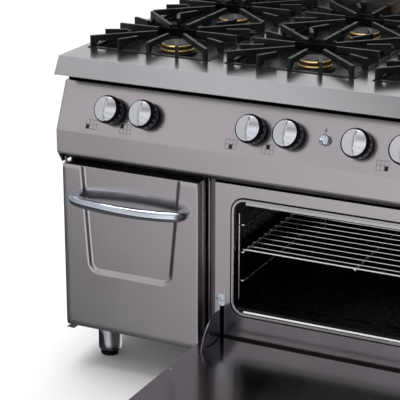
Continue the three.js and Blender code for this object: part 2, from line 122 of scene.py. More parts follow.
class Recipe:
    """The nodes of one procedural material, around a Principled shader."""

    def __init__(self, name: str, metallic: float, coat: float = 0.0) -> None:
        """Starts a material.

        Args:
            name: the finish's name.
            metallic: how metallic the surface is, 0 to 1.
            coat: weight of a clear glossy coat.
        """
        self.material = bpy.data.materials.new(name)
        self.material.use_nodes = True
        self.tree = self.material.node_tree
        self.shader = self.tree.nodes["Principled BSDF"]
        self.shader.inputs["Metallic"].default_value = metallic
        self.shader.inputs["Coat Weight"].default_value = coat
        self.shader.inputs["Coat Roughness"].default_value = 0.08
        self.coords = self.tree.nodes.new("ShaderNodeTexCoord").outputs["Object"]

    def link(self, source: bpy.types.NodeSocket, target: bpy.types.NodeSocket) -> None:
        """Joins two sockets."""
        self.tree.links.new(source, target)

    def noise(
        self, scale: Point, detail: float = 3.0, turn: Point = (0.0, 0.0, 0.0)
    ) -> bpy.types.NodeSocket:
        """Adds noise on object coordinates.

        Args:
            scale: cells per metre along each axis.
            detail: octaves of noise.
            turn: rotation of the pattern, in radians.

        Returns:
            The noise value.
        """
        mapping = self.tree.nodes.new("ShaderNodeMapping")
        mapping.inputs["Scale"].default_value = scale
        mapping.inputs["Rotation"].default_value = turn
        texture = self.tree.nodes.new("ShaderNodeTexNoise")
        texture.inputs["Scale"].default_value = 1.0
        texture.inputs["Detail"].default_value = detail
        self.link(self.coords, mapping.inputs["Vector"])
        self.link(mapping.outputs["Vector"], texture.inputs["Vector"])
        return texture.outputs["Fac"]

    def cells(self, scale: float) -> bpy.types.NodeSocket:
        """Adds random cells on object coordinates.

        Args:
            scale: cells per metre.

        Returns:
            The distance to the nearest cell's middle.
        """
        texture = self.tree.nodes.new("ShaderNodeTexVoronoi")
        texture.inputs["Scale"].default_value = scale
        self.link(self.coords, texture.inputs["Vector"])
        return texture.outputs["Distance"]

    def ranged(
        self, value: bpy.types.NodeSocket, source: tuple[float, float], result: tuple[float, float]
    ) -> bpy.types.NodeSocket:
        """Maps a value from one range to another, clamped.

        Args:
            value: the value.
            source: the range that it comes in.
            result: the range that it leaves in.

        Returns:
            The mapped value.
        """
        node = self.tree.nodes.new("ShaderNodeMapRange")
        set_range(node, source, result)
        self.link(value, node.inputs["Value"])
        return node.outputs["Result"]

    def added(self, first: bpy.types.NodeSocket, second: bpy.types.NodeSocket) -> bpy.types.NodeSocket:
        """Adds two values.

        Args:
            first: one value.
            second: the other.

        Returns:
            Their sum.
        """
        node = self.tree.nodes.new("ShaderNodeMath")
        self.link(first, node.inputs[0])
        self.link(second, node.inputs[1])
        return node.outputs[0]

    def colour(self, factor: bpy.types.NodeSocket, low: Colour, high: Colour) -> None:
        """Colours the surface between two colours.

        Args:
            factor: where the surface lies between the two, 0 to 1.
            low: its colour at 0.
            high: its colour at 1.
        """
        node = self.tree.nodes.new("ShaderNodeMix")
        node.data_type = "RGBA"
        node.inputs["A"].default_value = (*low, 1.0)
        node.inputs["B"].default_value = (*high, 1.0)
        self.link(factor, node.inputs["Factor"])
        self.link(node.outputs["Result"], self.shader.inputs["Base Color"])

    def roughness(self, value: bpy.types.NodeSocket) -> None:
        """Drives the roughness."""
        self.link(value, self.shader.inputs["Roughness"])

    def bump(self, value: bpy.types.NodeSocket, height: float, strength: float) -> None:
        """Raises the surface by a pattern.

        Args:
            value: the pattern.
            height: how high the pattern stands, in metres.
            strength: how strongly it shows, 0 to 1.
        """
        node = self.tree.nodes.new("ShaderNodeBump")
        node.inputs["Distance"].default_value = height
        node.inputs["Strength"].default_value = strength
        self.link(value, node.inputs["Height"])
        self.link(node.outputs["Normal"], self.shader.inputs["Normal"])


class Finish:
    """A finish that makes its material once and hands it out."""

    made: dict[str, bpy.types.Material] = {}
    slot: Slot

    def key(self) -> str:
        """A name that differs for each variant of the finish."""
        raise NotImplementedError

    def make(self) -> bpy.types.Material:
        """Builds the material."""
        raise NotImplementedError

    def material(self) -> bpy.types.Material:
        """Makes the finish's material at first use.

        Returns:
            The material.
        """
        if self.key() not in Finish.made:
            Finish.made[self.key()] = self.make()
        return Finish.made[self.key()]


@dataclass(frozen=True)
class BrushedSteel(Finish):
    """Stainless sheet with fine brushed lines, soft smudges and worn patches."""

    grain: Grain = Grain.ACROSS
    low: Colour = (0.420, 0.396, 0.416)
    high: Colour = (0.456, 0.432, 0.453)
    gloss: tuple[float, float] = (0.19, 0.23)
    turn: float = 0.0
    slot: Slot = Slot.STAINLESS

    def key(self) -> str:
        """Names the variant by its grain, shade and gloss."""
        return f"steel_{self.grain.name.lower()}_{int(self.low[0] * 1000)}_{int(self.gloss[0] * 100)}"

    def make(self) -> bpy.types.Material:
        """Brushed lines drive bump and roughness, and broad clouds vary the colour.

        Returns:
            The material.
        """
        recipe = Recipe(self.key(), metallic=1.0)
        turn = (self.turn, 0.0, 0.0)
        lines = recipe.noise(self.grain.value, 3.0, turn)
        clouds = recipe.noise((5.0, 5.0, 7.0), 4.0)
        recipe.colour(recipe.ranged(clouds, (0.3, 0.7), (0.0, 1.0)), self.low, self.high)
        fine = recipe.ranged(lines, (0.3, 0.7), self.gloss)
        smudge = recipe.ranged(clouds, (0.35, 0.75), (-0.01, 0.03))
        recipe.roughness(recipe.added(fine, smudge))
        recipe.bump(lines, 0.01 * MM, 0.03)
        return recipe.material


@dataclass(frozen=True)
class PolishedChrome(Finish):
    """Bright plated tube and wire, with faint wipe marks."""

    low: Colour = (0.50, 0.54, 0.60)
    high: Colour = (0.60, 0.64, 0.70)
    gloss: tuple[float, float] = (0.04, 0.09)
    slot: Slot = Slot.CHROME

    def key(self) -> str:
        """Names the variant by its gloss."""
        return f"chrome_{int(self.gloss[0] * 100)}_{int(self.low[0] * 100)}"

    def make(self) -> bpy.types.Material:
        """Clouds of wiping vary the gloss, over a nearly flat bump.

        Returns:
            The material.
        """
        recipe = Recipe(self.key(), metallic=1.0)
        wipes = recipe.noise((40.0, 60.0, 60.0), 4.0)
        recipe.colour(wipes, self.low, self.high)
        recipe.roughness(recipe.ranged(wipes, (0.3, 0.7), self.gloss))
        recipe.bump(wipes, 0.02 * MM, 0.15)
        return recipe.material


@dataclass(frozen=True)
class BlackEnamel(Finish):
    """Vitreous black enamel with fine pale flecks and a wavy, glossy surface."""

    slot: Slot = Slot.ENAMEL

    def key(self) -> str:
        """The only variant."""
        return "black_enamel"

    def make(self) -> bpy.types.Material:
        """Sparse cells give the flecks, and slow noise the orange peel.

        Returns:
            The material.
        """
        recipe = Recipe(self.key(), metallic=0.0)
        recipe.shader.inputs["Specular IOR Level"].default_value = 0.28
        flecks = recipe.ranged(recipe.cells(420.0), (0.10, 0.17), (1.0, 0.0))
        recipe.colour(flecks, (0.005, 0.005, 0.007), (0.030, 0.030, 0.034))
        peel = recipe.noise((60.0, 60.0, 60.0), 2.0)
        recipe.roughness(recipe.ranged(peel, (0.3, 0.7), (0.24, 0.32)))
        recipe.bump(peel, 0.05 * MM, 0.15)
        return recipe.material


@dataclass(frozen=True)
class CastIron(Finish):
    """Sand-cast iron: dark, grainy and dull, with paler rubbed places."""

    slot: Slot = Slot.IRON

    def key(self) -> str:
        """The only variant."""
        return "cast_iron"

    def make(self) -> bpy.types.Material:
        """Sandy grain for the bump, broader clouds for rubbed places.

        Returns:
            The material.
        """
        recipe = Recipe(self.key(), metallic=0.0)
        recipe.shader.inputs["Specular IOR Level"].default_value = 0.25
        sand = recipe.noise((900.0, 900.0, 900.0), 4.0)
        clouds = recipe.noise((30.0, 30.0, 30.0), 4.0)
        rubbed = recipe.ranged(clouds, (0.35, 0.7), (0.0, 1.0))
        recipe.colour(rubbed, (0.007, 0.007, 0.009), (0.022, 0.022, 0.027))
        recipe.roughness(recipe.ranged(clouds, (0.3, 0.7), (0.50, 0.34)))
        recipe.bump(sand, 0.25 * MM, 0.5)
        return recipe.material


@dataclass(frozen=True)
class HeatedBrass(Finish):
    """Machined brass, darkened in places by heat."""

    low: Colour = (0.20, 0.135, 0.055)
    high: Colour = (0.42, 0.30, 0.13)
    slot: Slot = Slot.BRASS

    def key(self) -> str:
        """The only variant."""
        return "heated_brass"

    def make(self) -> bpy.types.Material:
        """Heat stains in clouds over fine turning marks.

        Returns:
            The material.
        """
        recipe = Recipe(self.key(), metallic=1.0)
        stains = recipe.noise((45.0, 45.0, 90.0), 5.0)
        turning = recipe.noise((40.0, 40.0, 1500.0), 2.0)
        recipe.colour(recipe.ranged(stains, (0.3, 0.65), (0.0, 1.0)), self.low, self.high)
        recipe.roughness(recipe.ranged(stains, (0.3, 0.7), (0.42, 0.24)))
        recipe.bump(turning, 0.03 * MM, 0.3)
        return recipe.material


@dataclass(frozen=True)
class GlossPlastic(Finish):
    """Moulded black plastic with a shallow moulding texture."""

    colour: Colour = (0.003, 0.003, 0.004)
    gloss: tuple[float, float] = (0.12, 0.20)
    shine: float = 0.05
    slot: Slot = Slot.PLASTIC

    def key(self) -> str:
        """Names the variant by its colour."""
        return f"plastic_{int(self.colour[0] * 1000)}"

    def make(self) -> bpy.types.Material:
        """Slow sink marks and a fine texture.

        Returns:
            The material.
        """
        recipe = Recipe(self.key(), metallic=0.0)
        recipe.shader.inputs["Specular IOR Level"].default_value = self.shine
        sink = recipe.noise((70.0, 70.0, 70.0), 3.0)
        grain = recipe.noise((1400.0, 1400.0, 1400.0), 2.0)
        paler = tuple(min(1.0, c * 1.5 + 0.003) for c in self.colour)
        recipe.colour(sink, self.colour, paler)
        recipe.roughness(recipe.ranged(sink, (0.3, 0.7), self.gloss))
        recipe.bump(grain, 0.02 * MM, 0.2)
        return recipe.material


SHEET_STEEL = BrushedSteel(Grain.ACROSS)
UPRIGHT_STEEL = BrushedSteel(Grain.UPRIGHT)
SIDE_STEEL = BrushedSteel(Grain.DEEP)
HOB_STEEL = BrushedSteel(Grain.ACROSS, (0.45, 0.445, 0.465), (0.48, 0.475, 0.495), (0.17, 0.20))
TRIM_STEEL = BrushedSteel(Grain.EVEN, (0.46, 0.455, 0.47), (0.54, 0.53, 0.55), (0.18, 0.28))
# Dark steel for hinge pins and screws; on the fascia's underside it also paints the shade under the panel's
# lip.
DARK_STEEL = BrushedSteel(Grain.ACROSS, (0.26, 0.25, 0.23), (0.34, 0.33, 0.30), (0.35, 0.45))
# Very pale steel: it paints a bright highlight along the oven's sill strip.
SILL_HIGHLIGHT_STEEL = BrushedSteel(Grain.ACROSS, (0.86, 0.84, 0.85), (0.94, 0.92, 0.93), (0.16, 0.20))
LINER_STEEL = BrushedSteel(Grain.ACROSS, (0.24, 0.23, 0.245), (0.29, 0.28, 0.295), (0.14, 0.18))
# Near-black steel: it paints the shade in the set-back folds beside the oven frame.
FOLD_SHADE_STEEL = BrushedSteel(Grain.UPRIGHT, (0.110, 0.105, 0.108), (0.145, 0.138, 0.142), (0.24, 0.30))
ARM_STEEL = BrushedSteel(Grain.EVEN, (0.10, 0.11, 0.125), (0.17, 0.18, 0.20), (0.22, 0.36))
FACE_SILVER = BrushedSteel(
    Grain.UPRIGHT, (0.52, 0.53, 0.57), (0.60, 0.61, 0.65), (0.18, 0.26), math.radians(24.1)
)
CHROME = PolishedChrome()
LEG_CHROME = PolishedChrome((0.26, 0.26, 0.28), (0.34, 0.34, 0.36), (0.08, 0.14))
WIRE_CHROME = PolishedChrome((0.80, 0.82, 0.85), (0.90, 0.92, 0.95), (0.14, 0.24))
ENAMEL = BlackEnamel()
IRON = CastIron()
BRASS = HeatedBrass()
PLASTIC = GlossPlastic()
RUBBER = GlossPlastic((0.004, 0.004, 0.004), (0.50, 0.65))
BLACK_PRINT = GlossPlastic((0.014, 0.014, 0.016), (0.45, 0.55))
GREY_PRINT = GlossPlastic((0.10, 0.10, 0.11), (0.45, 0.55))
WHITE_PRINT = GlossPlastic((0.62, 0.62, 0.64), (0.40, 0.50))


# ---- mesh making ----
class Shape:
    """A mesh being built, in metres."""

    def __init__(self) -> None:
        """Starts empty."""
        self.mesh = bmesh.new()

    def loop(self, points: Iterable[Sequence[float]]) -> list[bmesh.types.BMVert]:
        """Adds points."""
        return [self.mesh.verts.new(p) for p in points]

    def bridge(
        self, first: list[bmesh.types.BMVert], second: list[bmesh.types.BMVert], closed: bool = True
    ) -> None:
        """Joins two rows of the same length with quads.

        Args:
            first: one row of points.
            second: the other row, in the same order.
            closed: whether the rows are loops, whose ends are joined too.
        """
        count = len(first)
        for i in range(count if closed else count - 1):
            j = (i + 1) % count
            self.mesh.faces.new((first[i], first[j], second[j], second[i]))

    def loft(self, loops: Sequence[Iterable[Sequence[float]]], capped: bool = True) -> None:
        """Skins a row of closed loops.

        Args:
            loops: the points of each loop.
            capped: whether both ends are closed.
        """
        rings = [self.loop(points) for points in loops]
        for first, second in zip(rings, rings[1:]):
            self.bridge(first, second)
        if capped:
            self.mesh.faces.new(list(reversed(rings[0])))
            self.mesh.faces.new(rings[-1])

    def slab(self, low: Sequence[float], high: Sequence[float], place: Matrix | None = None) -> None:
        """Adds a block.

        Args:
            low: its lowest corner.
            high: its highest corner.
            place: where the block goes, or None where the corners already say it.
        """
        corners = [
            Vector((x, y, z)) for z in (low[2], high[2]) for x, y in
            ((low[0], low[1]), (high[0], low[1]), (high[0], high[1]), (low[0], high[1]))
        ]
        moved = [place @ c if place else c for c in corners]
        self.loft((moved[:4], moved[4:]))

    def lathe(self, profile: Sequence[tuple[float, float]], place: Matrix, segments: int = 48) -> None:
        """Turns [radius, height] pairs about `place`'s Z axis. Both ends lie on the axis.

        Args:
            profile: radii and heights in millimetres, from one end to the other.
            place: where the turned shape goes.
            segments: steps round.
        """
        first = self.mesh.verts.new(place @ Vector((0.0, 0.0, profile[0][1] * MM)))
        last = self.mesh.verts.new(place @ Vector((0.0, 0.0, profile[-1][1] * MM)))
        rings = []
        for radius, height in profile[1:-1]:
            turn = [2 * math.pi * i / segments for i in range(segments)]
            ring = [Vector((radius * math.cos(a), radius * math.sin(a), height)) * MM for a in turn]
            rings.append(self.loop(place @ p for p in ring))
        for lower, upper in zip(rings, rings[1:]):
            self.bridge(lower, upper)
        for i in range(segments):
            j = (i + 1) % segments
            self.mesh.faces.new((rings[0][j], rings[0][i], first))
            self.mesh.faces.new((rings[-1][i], rings[-1][j], last))

    def done(self, name: str, smooth: float = SHARP_ANGLE) -> bpy.types.Mesh:
        """Points the faces outwards and smooths the gentle edges.

        Args:
            name: the mesh's name.
            smooth: the sharpest edge that is smoothed, in radians.

        Returns:
            The finished mesh.
        """
        bmesh.ops.recalc_face_normals(self.mesh, faces=self.mesh.faces)
        mesh = bpy.data.meshes.new(name)
        self.mesh.to_mesh(mesh)
        self.mesh.free()
        smooth_by_angle(mesh, smooth)
        return mesh


def smooth_by_angle(mesh: bpy.types.Mesh, angle: float = SHARP_ANGLE) -> None:
    """Smooths a mesh except across edges sharper than `angle`."""
    mesh.shade_smooth()
    mesh.set_sharp_from_angle(angle=angle)


def tube(points: Sequence[Vector], radii: Sequence[float], sides: int = 24) -> list[list[Vector]]:
    """Rings of a tube along a path that keeps its up direction.

    Args:
        points: the path's points.
        radii: the tube's radius at each point, in metres.
        sides: points in each ring.

    Returns:
        One ring of points for each path point.
    """
    rings = []
    up = Vector((0.0, 0.0, 1.0))
    for i, (point, radius) in enumerate(zip(points, radii)):
        before, after = points[max(i - 1, 0)], points[min(i + 1, len(points) - 1)]
        ahead = (after - before).normalized()
        side = ahead.cross(up)
        side = side.normalized() if side.length > 0.01 else Vector((1.0, 0.0, 0.0))
        top = side.cross(ahead).normalized()
        turn = [2 * math.pi * k / sides for k in range(sides)]
        rings.append([point + (side * math.cos(a) + top * math.sin(a)) * radius for a in turn])
    return rings


def smooth_path(points: Sequence[Vector], steps: int) -> list[Vector]:
    """Runs a smooth curve through points.

    Args:
        points: the points that it passes through.
        steps: steps between each point and the next.

    Returns:
        The curve's points.
    """
    ends = [points[0] * 2 - points[1], *points, points[-1] * 2 - points[-2]]
    path = []
    for a, b, c, d in zip(ends, ends[1:], ends[2:], ends[3:]):
        for i in range(steps):
            t = i / steps
            path.append(0.5 * (
                b * 2 + (c - a) * t + (a * 2 - b * 5 + c * 4 - d) * t**2 + (b * 3 - a - c * 3 + d) * t**3
            ))
    return [*path, points[-1]]


def rounded_rectangle(
    low: tuple[float, float], high: tuple[float, float], radius: float, steps: int = 8
) -> list[tuple[float, float]]:
    """Outlines a rectangle with round corners.

    Args:
        low: its lower left corner.
        high: its upper right corner.
        radius: the corners' radius.
        steps: steps round each corner.

    Returns:
        The outline, anticlockwise from the lower right.
    """
    corners = (
        (high[0], low[1], -1, 1), (high[0], high[1], -1, -1),
        (low[0], high[1], 1, -1), (low[0], low[1], 1, 1),
    )
    outline = []
    for corner, (x, z, in_x, in_z) in enumerate(corners):
        for i in range(steps + 1):
            angle = math.pi / 2 * (corner - 1 + i / steps)
            across, up = in_x + math.cos(angle), in_z + math.sin(angle)
            outline.append((x + radius * across, z + radius * up))
    return outline


def baked(host: bpy.types.Object, name: str) -> bpy.types.Mesh:
    """Turns what an object's modifiers make into a plain mesh, and removes the object.

    Args:
        host: the object with the modifiers.
        name: the mesh's name.

    Returns:
        The plain mesh.
    """
    bpy.context.view_layer.update()
    graph = bpy.context.evaluated_depsgraph_get()
    finished = host.evaluated_get(graph)
    mesh = bpy.data.meshes.new_from_object(finished, preserve_all_data_layers=False, depsgraph=graph)
    mesh.name = name
    host.modifiers.clear()
    bpy.data.objects.remove(host)
    return mesh


def softened(node: str, width: float, segments: int = 3, angle: float = SOFTENED_ANGLE) -> bpy.types.Mesh:
    """A welded copy of a CAD node with its sharp edges rounded and its large faces kept flat.

    Args:
        node: the CAD node.
        width: the rounding's width in millimetres.
        segments: steps in the rounding.
        angle: edges sharper than this are rounded.

    Returns:
        The new mesh.
    """
    work = bmesh.new()
    work.from_mesh(frame["nodes"][node].data)
    bmesh.ops.remove_doubles(work, verts=work.verts, dist=WELD)
    bmesh.ops.dissolve_limit(work, angle_limit=FLAT_ANGLE, verts=work.verts, edges=work.edges)
    mesh = bpy.data.meshes.new(f"{node}_soft")
    work.to_mesh(mesh)
    work.free()
    mesh.shade_smooth()
    host = bpy.data.objects.new(f"{node}_host", mesh)
    bpy.context.scene.collection.objects.link(host)
    bevel = host.modifiers.new("round", "BEVEL")
    bevel.width = width * MM
    bevel.segments = segments
    bevel.limit_method = "ANGLE"
    bevel.angle_limit = angle
    bevel.use_clamp_overlap = True
    level = host.modifiers.new("level", "WEIGHTED_NORMAL")
    level.mode = "FACE_AREA"
    level.weight = LEVEL_WEIGHT
    return baked(host, f"{node}_mesh")


def piece(
    name: str, mesh: bpy.types.Mesh, finish: Finish | Sequence[Finish], body: str, nodes: Sequence[str] = ()
) -> bpy.types.Object:
    """Shows a mesh as a piece of the range.

    Args:
        name: the piece's name.
        mesh: its mesh, already in place.
        finish: its finish, or one finish for each material index.
        body: the CAD body that it rides on.
        nodes: the CAD nodes that it stands for.

    Returns:
        The new object.
    """
    finishes = [finish] if isinstance(finish, Finish) else list(finish)
    mesh.materials.clear()
    for one in finishes:
        mesh.materials.append(one.material())
    obj = bpy.data.objects.new(name, mesh)
    bpy.context.scene.collection.objects.link(obj)
    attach(obj, body)
    if nodes:
        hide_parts(*nodes)
    return obj


# ---- geometry-node trees ----
class Tree:
    """A geometry-node tree with named inputs, baked into plain meshes."""

    def __init__(self, name: str) -> None:
        """Starts the tree with its geometry sockets and its finish input.

        Args:
            name: the tree's name.
        """
        self.group = bpy.data.node_groups.new(name, "GeometryNodeTree")
        faces = self.group.interface
        faces.new_socket(name="Geometry", in_out="INPUT", socket_type="NodeSocketGeometry")
        faces.new_socket(name="Geometry", in_out="OUTPUT", socket_type="NodeSocketGeometry")
        self.start = self.group.nodes.new("NodeGroupInput")
        self.names: dict[str, str] = {}
        self.finish = self.input("Finish", "NodeSocketMaterial")

    def input(self, name: str, kind: str, value: float | int | None = None) -> str:
        """Adds a named input.

        Args:
            name: the input's name.
            kind: its socket type.
            value: its value where none is given.

        Returns:
            The input's name.
        """
        socket = self.group.interface.new_socket(name=name, in_out="INPUT", socket_type=kind)
        if value is not None:
            socket.default_value = value
        self.names[name] = socket.identifier
        return name

    def node(self, kind: str, **links: bpy.types.NodeSocket | str | float | int) -> bpy.types.Node:
        """Adds a node.

        Args:
            kind: the node's type.
            links: what goes into each input: a socket, one of the tree's inputs by name, or a value.

        Returns:
            The new node.
        """
        node = self.group.nodes.new(kind)
        for name, value in links.items():
            target = next(s for s in node.inputs if s.name.replace(" ", "_") == name and s.enabled)
            if isinstance(value, bpy.types.NodeSocket):
                self.group.links.new(value, target)
            elif isinstance(value, str):
                self.group.links.new(self.start.outputs[value], target)
            else:
                target.default_value = value
        return node

    def close(self, geometry: bpy.types.NodeSocket) -> None:
        """Ends the tree in Realize Instances and Set Material.

        Args:
            geometry: what the tree has made.
        """
        real = self.node("GeometryNodeRealizeInstances", Geometry=geometry)
        dressed = self.node("GeometryNodeSetMaterial", Geometry=real.outputs[0], Material=self.finish)
        end = self.group.nodes.new("NodeGroupOutput")
        self.group.links.new(dressed.outputs[0], end.inputs[0])

    def bake(self, name: str, base: bpy.types.Mesh, finish: Finish, **values: object) -> bpy.types.Mesh:
        """Runs the tree on a mesh.

        Args:
            name: the new mesh's name.
            base: the mesh that carries the points or paths.
            finish: the finish handed to Set Material.
            values: the tree's other inputs.

        Returns:
            The plain mesh.
        """
        host = bpy.data.objects.new(f"{name}_host", base)
        modifier = host.modifiers.new("tree", "NODES")
        modifier.node_group = self.group
        modifier[self.names["Finish"]] = finish.material()
        for key, value in values.items():
            modifier[self.names[key.replace("_", " ")]] = value
        bpy.context.scene.collection.objects.link(host)
        mesh = baked(host, name)
        smooth_by_angle(mesh)
        return mesh


class Repeats(Tree):
    """Puts a copy of one object on every point, turned by the point's `turn`."""

    def __init__(self) -> None:
        """Builds the tree."""
        super().__init__("repeats")
        self.input("Piece", "NodeSocketObject")
        self.input("Size", "NodeSocketFloat", 1.0)
        info = self.node("GeometryNodeObjectInfo", Object="Piece")
        turn = self.group.nodes.new("GeometryNodeInputNamedAttribute")
        turn.data_type = "FLOAT_VECTOR"
        turn.inputs["Name"].default_value = "turn"
        placed = self.node(
            "GeometryNodeInstanceOnPoints", Points="Geometry", Instance=info.outputs["Geometry"],
            Scale="Size",
        )
        self.group.links.new(turn.outputs[0], placed.inputs["Rotation"])
        self.close(placed.outputs[0])

    def spread(
        self, name: str, model: bpy.types.Mesh, places: Sequence[tuple[Vector, Euler]], finish: Finish,
        body: str, size: float = 1.0,
    ) -> bpy.types.Object:
        """Makes one piece out of many copies.

        Args:
            name: the piece's name.
            model: the mesh to repeat, around the origin.
            places: where each copy goes, and how it is turned.
            finish: the finish of them all.
            body: the body that they ride on.
            size: scale of each copy.

        Returns:
            The finished piece.
        """
        base = bpy.data.meshes.new(f"{name}_points")
        base.from_pydata([p for p, _ in places], [], [])
        turns = base.attributes.new("turn", "FLOAT_VECTOR", "POINT")
        turns.data.foreach_set("vector", [v for _, turn in places for v in turn])
        holder = bpy.data.objects.new(f"{name}_model", model)
        mesh = self.bake(name, base, finish, Piece=holder, Size=size)
        bpy.data.objects.remove(holder)
        if mesh.attributes.get("turn"):
            mesh.attributes.remove(mesh.attributes["turn"])
        return piece(name, mesh, finish, body)


class Wires(Tree):
    """Turns every edge path of a mesh into round wire."""

    BEND_STEPS = 5

    def __init__(self) -> None:
        """Builds the tree."""
        super().__init__("wires")
        self.input("Radius", "NodeSocketFloat", 0.003)
        self.input("Bend", "NodeSocketFloat", 0.0)
        self.input("Sides", "NodeSocketInt", 12)
        path = self.node("GeometryNodeMeshToCurve", Mesh="Geometry")
        bent = self.node("GeometryNodeFilletCurve", Curve=path.outputs[0], Radius="Bend")
        bent.mode = "POLY"
        bent.inputs["Count"].default_value = self.BEND_STEPS
        ring = self.node("GeometryNodeCurvePrimitiveCircle", Resolution="Sides", Radius="Radius")
        wire = self.node("GeometryNodeCurveToMesh", Curve=bent.outputs[0], Profile_Curve=ring.outputs[0])
        wire.inputs["Fill Caps"].default_value = True
        self.close(wire.outputs[0])

    def run(
        self, name: str, paths: Sequence[Sequence[Vector]], radius: float, finish: Finish,
        bend: float = 0.0, sides: int = 12,
    ) -> bpy.types.Mesh:
        """Wires along paths.

        Args:
            name: the mesh's name.
            paths: corner points of each wire, in metres.
            radius: the wire's radius in millimetres.
            finish: its finish.
            bend: radius of its bends in millimetres.
            sides: sides of the wire.

        Returns:
            The wires as one mesh.
        """
        points = [p for path in paths for p in path]
        edges = []
        start = 0
        for path in paths:
            edges += [(start + i, start + i + 1) for i in range(len(path) - 1)]
            start += len(path)
        base = bpy.data.meshes.new(f"{name}_paths")
        base.from_pydata(points, edges, [])
        return self.bake(name, base, finish, Radius=radius * MM, Bend=bend * MM, Sides=sides)


class Row(Tree):
    """A row of equal straight wires, one pitch apart."""

    def __init__(self) -> None:
        """Builds the tree."""
        super().__init__("row")
        self.input("Count", "NodeSocketInt", 10)
        self.input("Pitch", "NodeSocketVector")
        self.input("Radius", "NodeSocketFloat", 0.002)
        line = self.group.nodes.new("GeometryNodeMeshLine")
        self.group.links.new(self.start.outputs["Count"], line.inputs["Count"])
        self.group.links.new(self.start.outputs["Pitch"], line.inputs["Offset"])
        path = self.node("GeometryNodeMeshToCurve", Mesh="Geometry")
        ring = self.node("GeometryNodeCurvePrimitiveCircle", Resolution=10, Radius="Radius")
        wire = self.node("GeometryNodeCurveToMesh", Curve=path.outputs[0], Profile_Curve=ring.outputs[0])
        wire.inputs["Fill Caps"].default_value = True
        placed = self.node("GeometryNodeInstanceOnPoints", Points=line.outputs[0], Instance=wire.outputs[0])
        self.close(placed.outputs[0])


REPEATS = Repeats()
WIRES = Wires()
ROW = Row()


def merged(name: str, meshes: Sequence[bpy.types.Mesh]) -> bpy.types.Mesh:
    """Joins meshes.

    Args:
        name: the new mesh's name.
        meshes: the meshes to join.

    Returns:
        One mesh, smoothed anew.
    """
    work = bmesh.new()
    for mesh in meshes:
        work.from_mesh(mesh)
    result = bpy.data.meshes.new(name)
    work.to_mesh(result)
    work.free()
    smooth_by_angle(result)
    return result


def screw_model(radius: float = 4.0, dome: float = 1.6) -> bpy.types.Mesh:
    """Makes a domed screw head with a raised cross.

    Args:
        radius: the head's radius in millimetres.
        dome: its height in millimetres.

    Returns:
        The head, with its seat at the origin and its top along +Z.
    """
    shape = Shape()
    profile = [
        (0.0, 0.0), (radius, 0.0), (radius, 0.25), (radius * 0.9, dome * 0.55), (radius * 0.6, dome * 0.9),
        (radius * 0.3, dome), (0.0, dome),
    ]
    shape.lathe(profile, Matrix.Identity(4), 16)
    for turn in (0.0, math.pi / 2):
        arm = Matrix.Rotation(turn + 0.3, 4, "Z")
        half, thin = radius * 0.55 * MM, radius * 0.12 * MM
        shape.slab((-half, -thin, dome * 0.5 * MM), (half, thin, (dome + 0.12) * MM), arm)
    return shape.done("screw_model")


FORWARD = Euler((math.pi / 2, 0.0, 0.0))
BACKWARD = Euler((-math.pi / 2, 0.0, 0.0))
UPWARD = Euler((0.0, 0.0, 0.0))


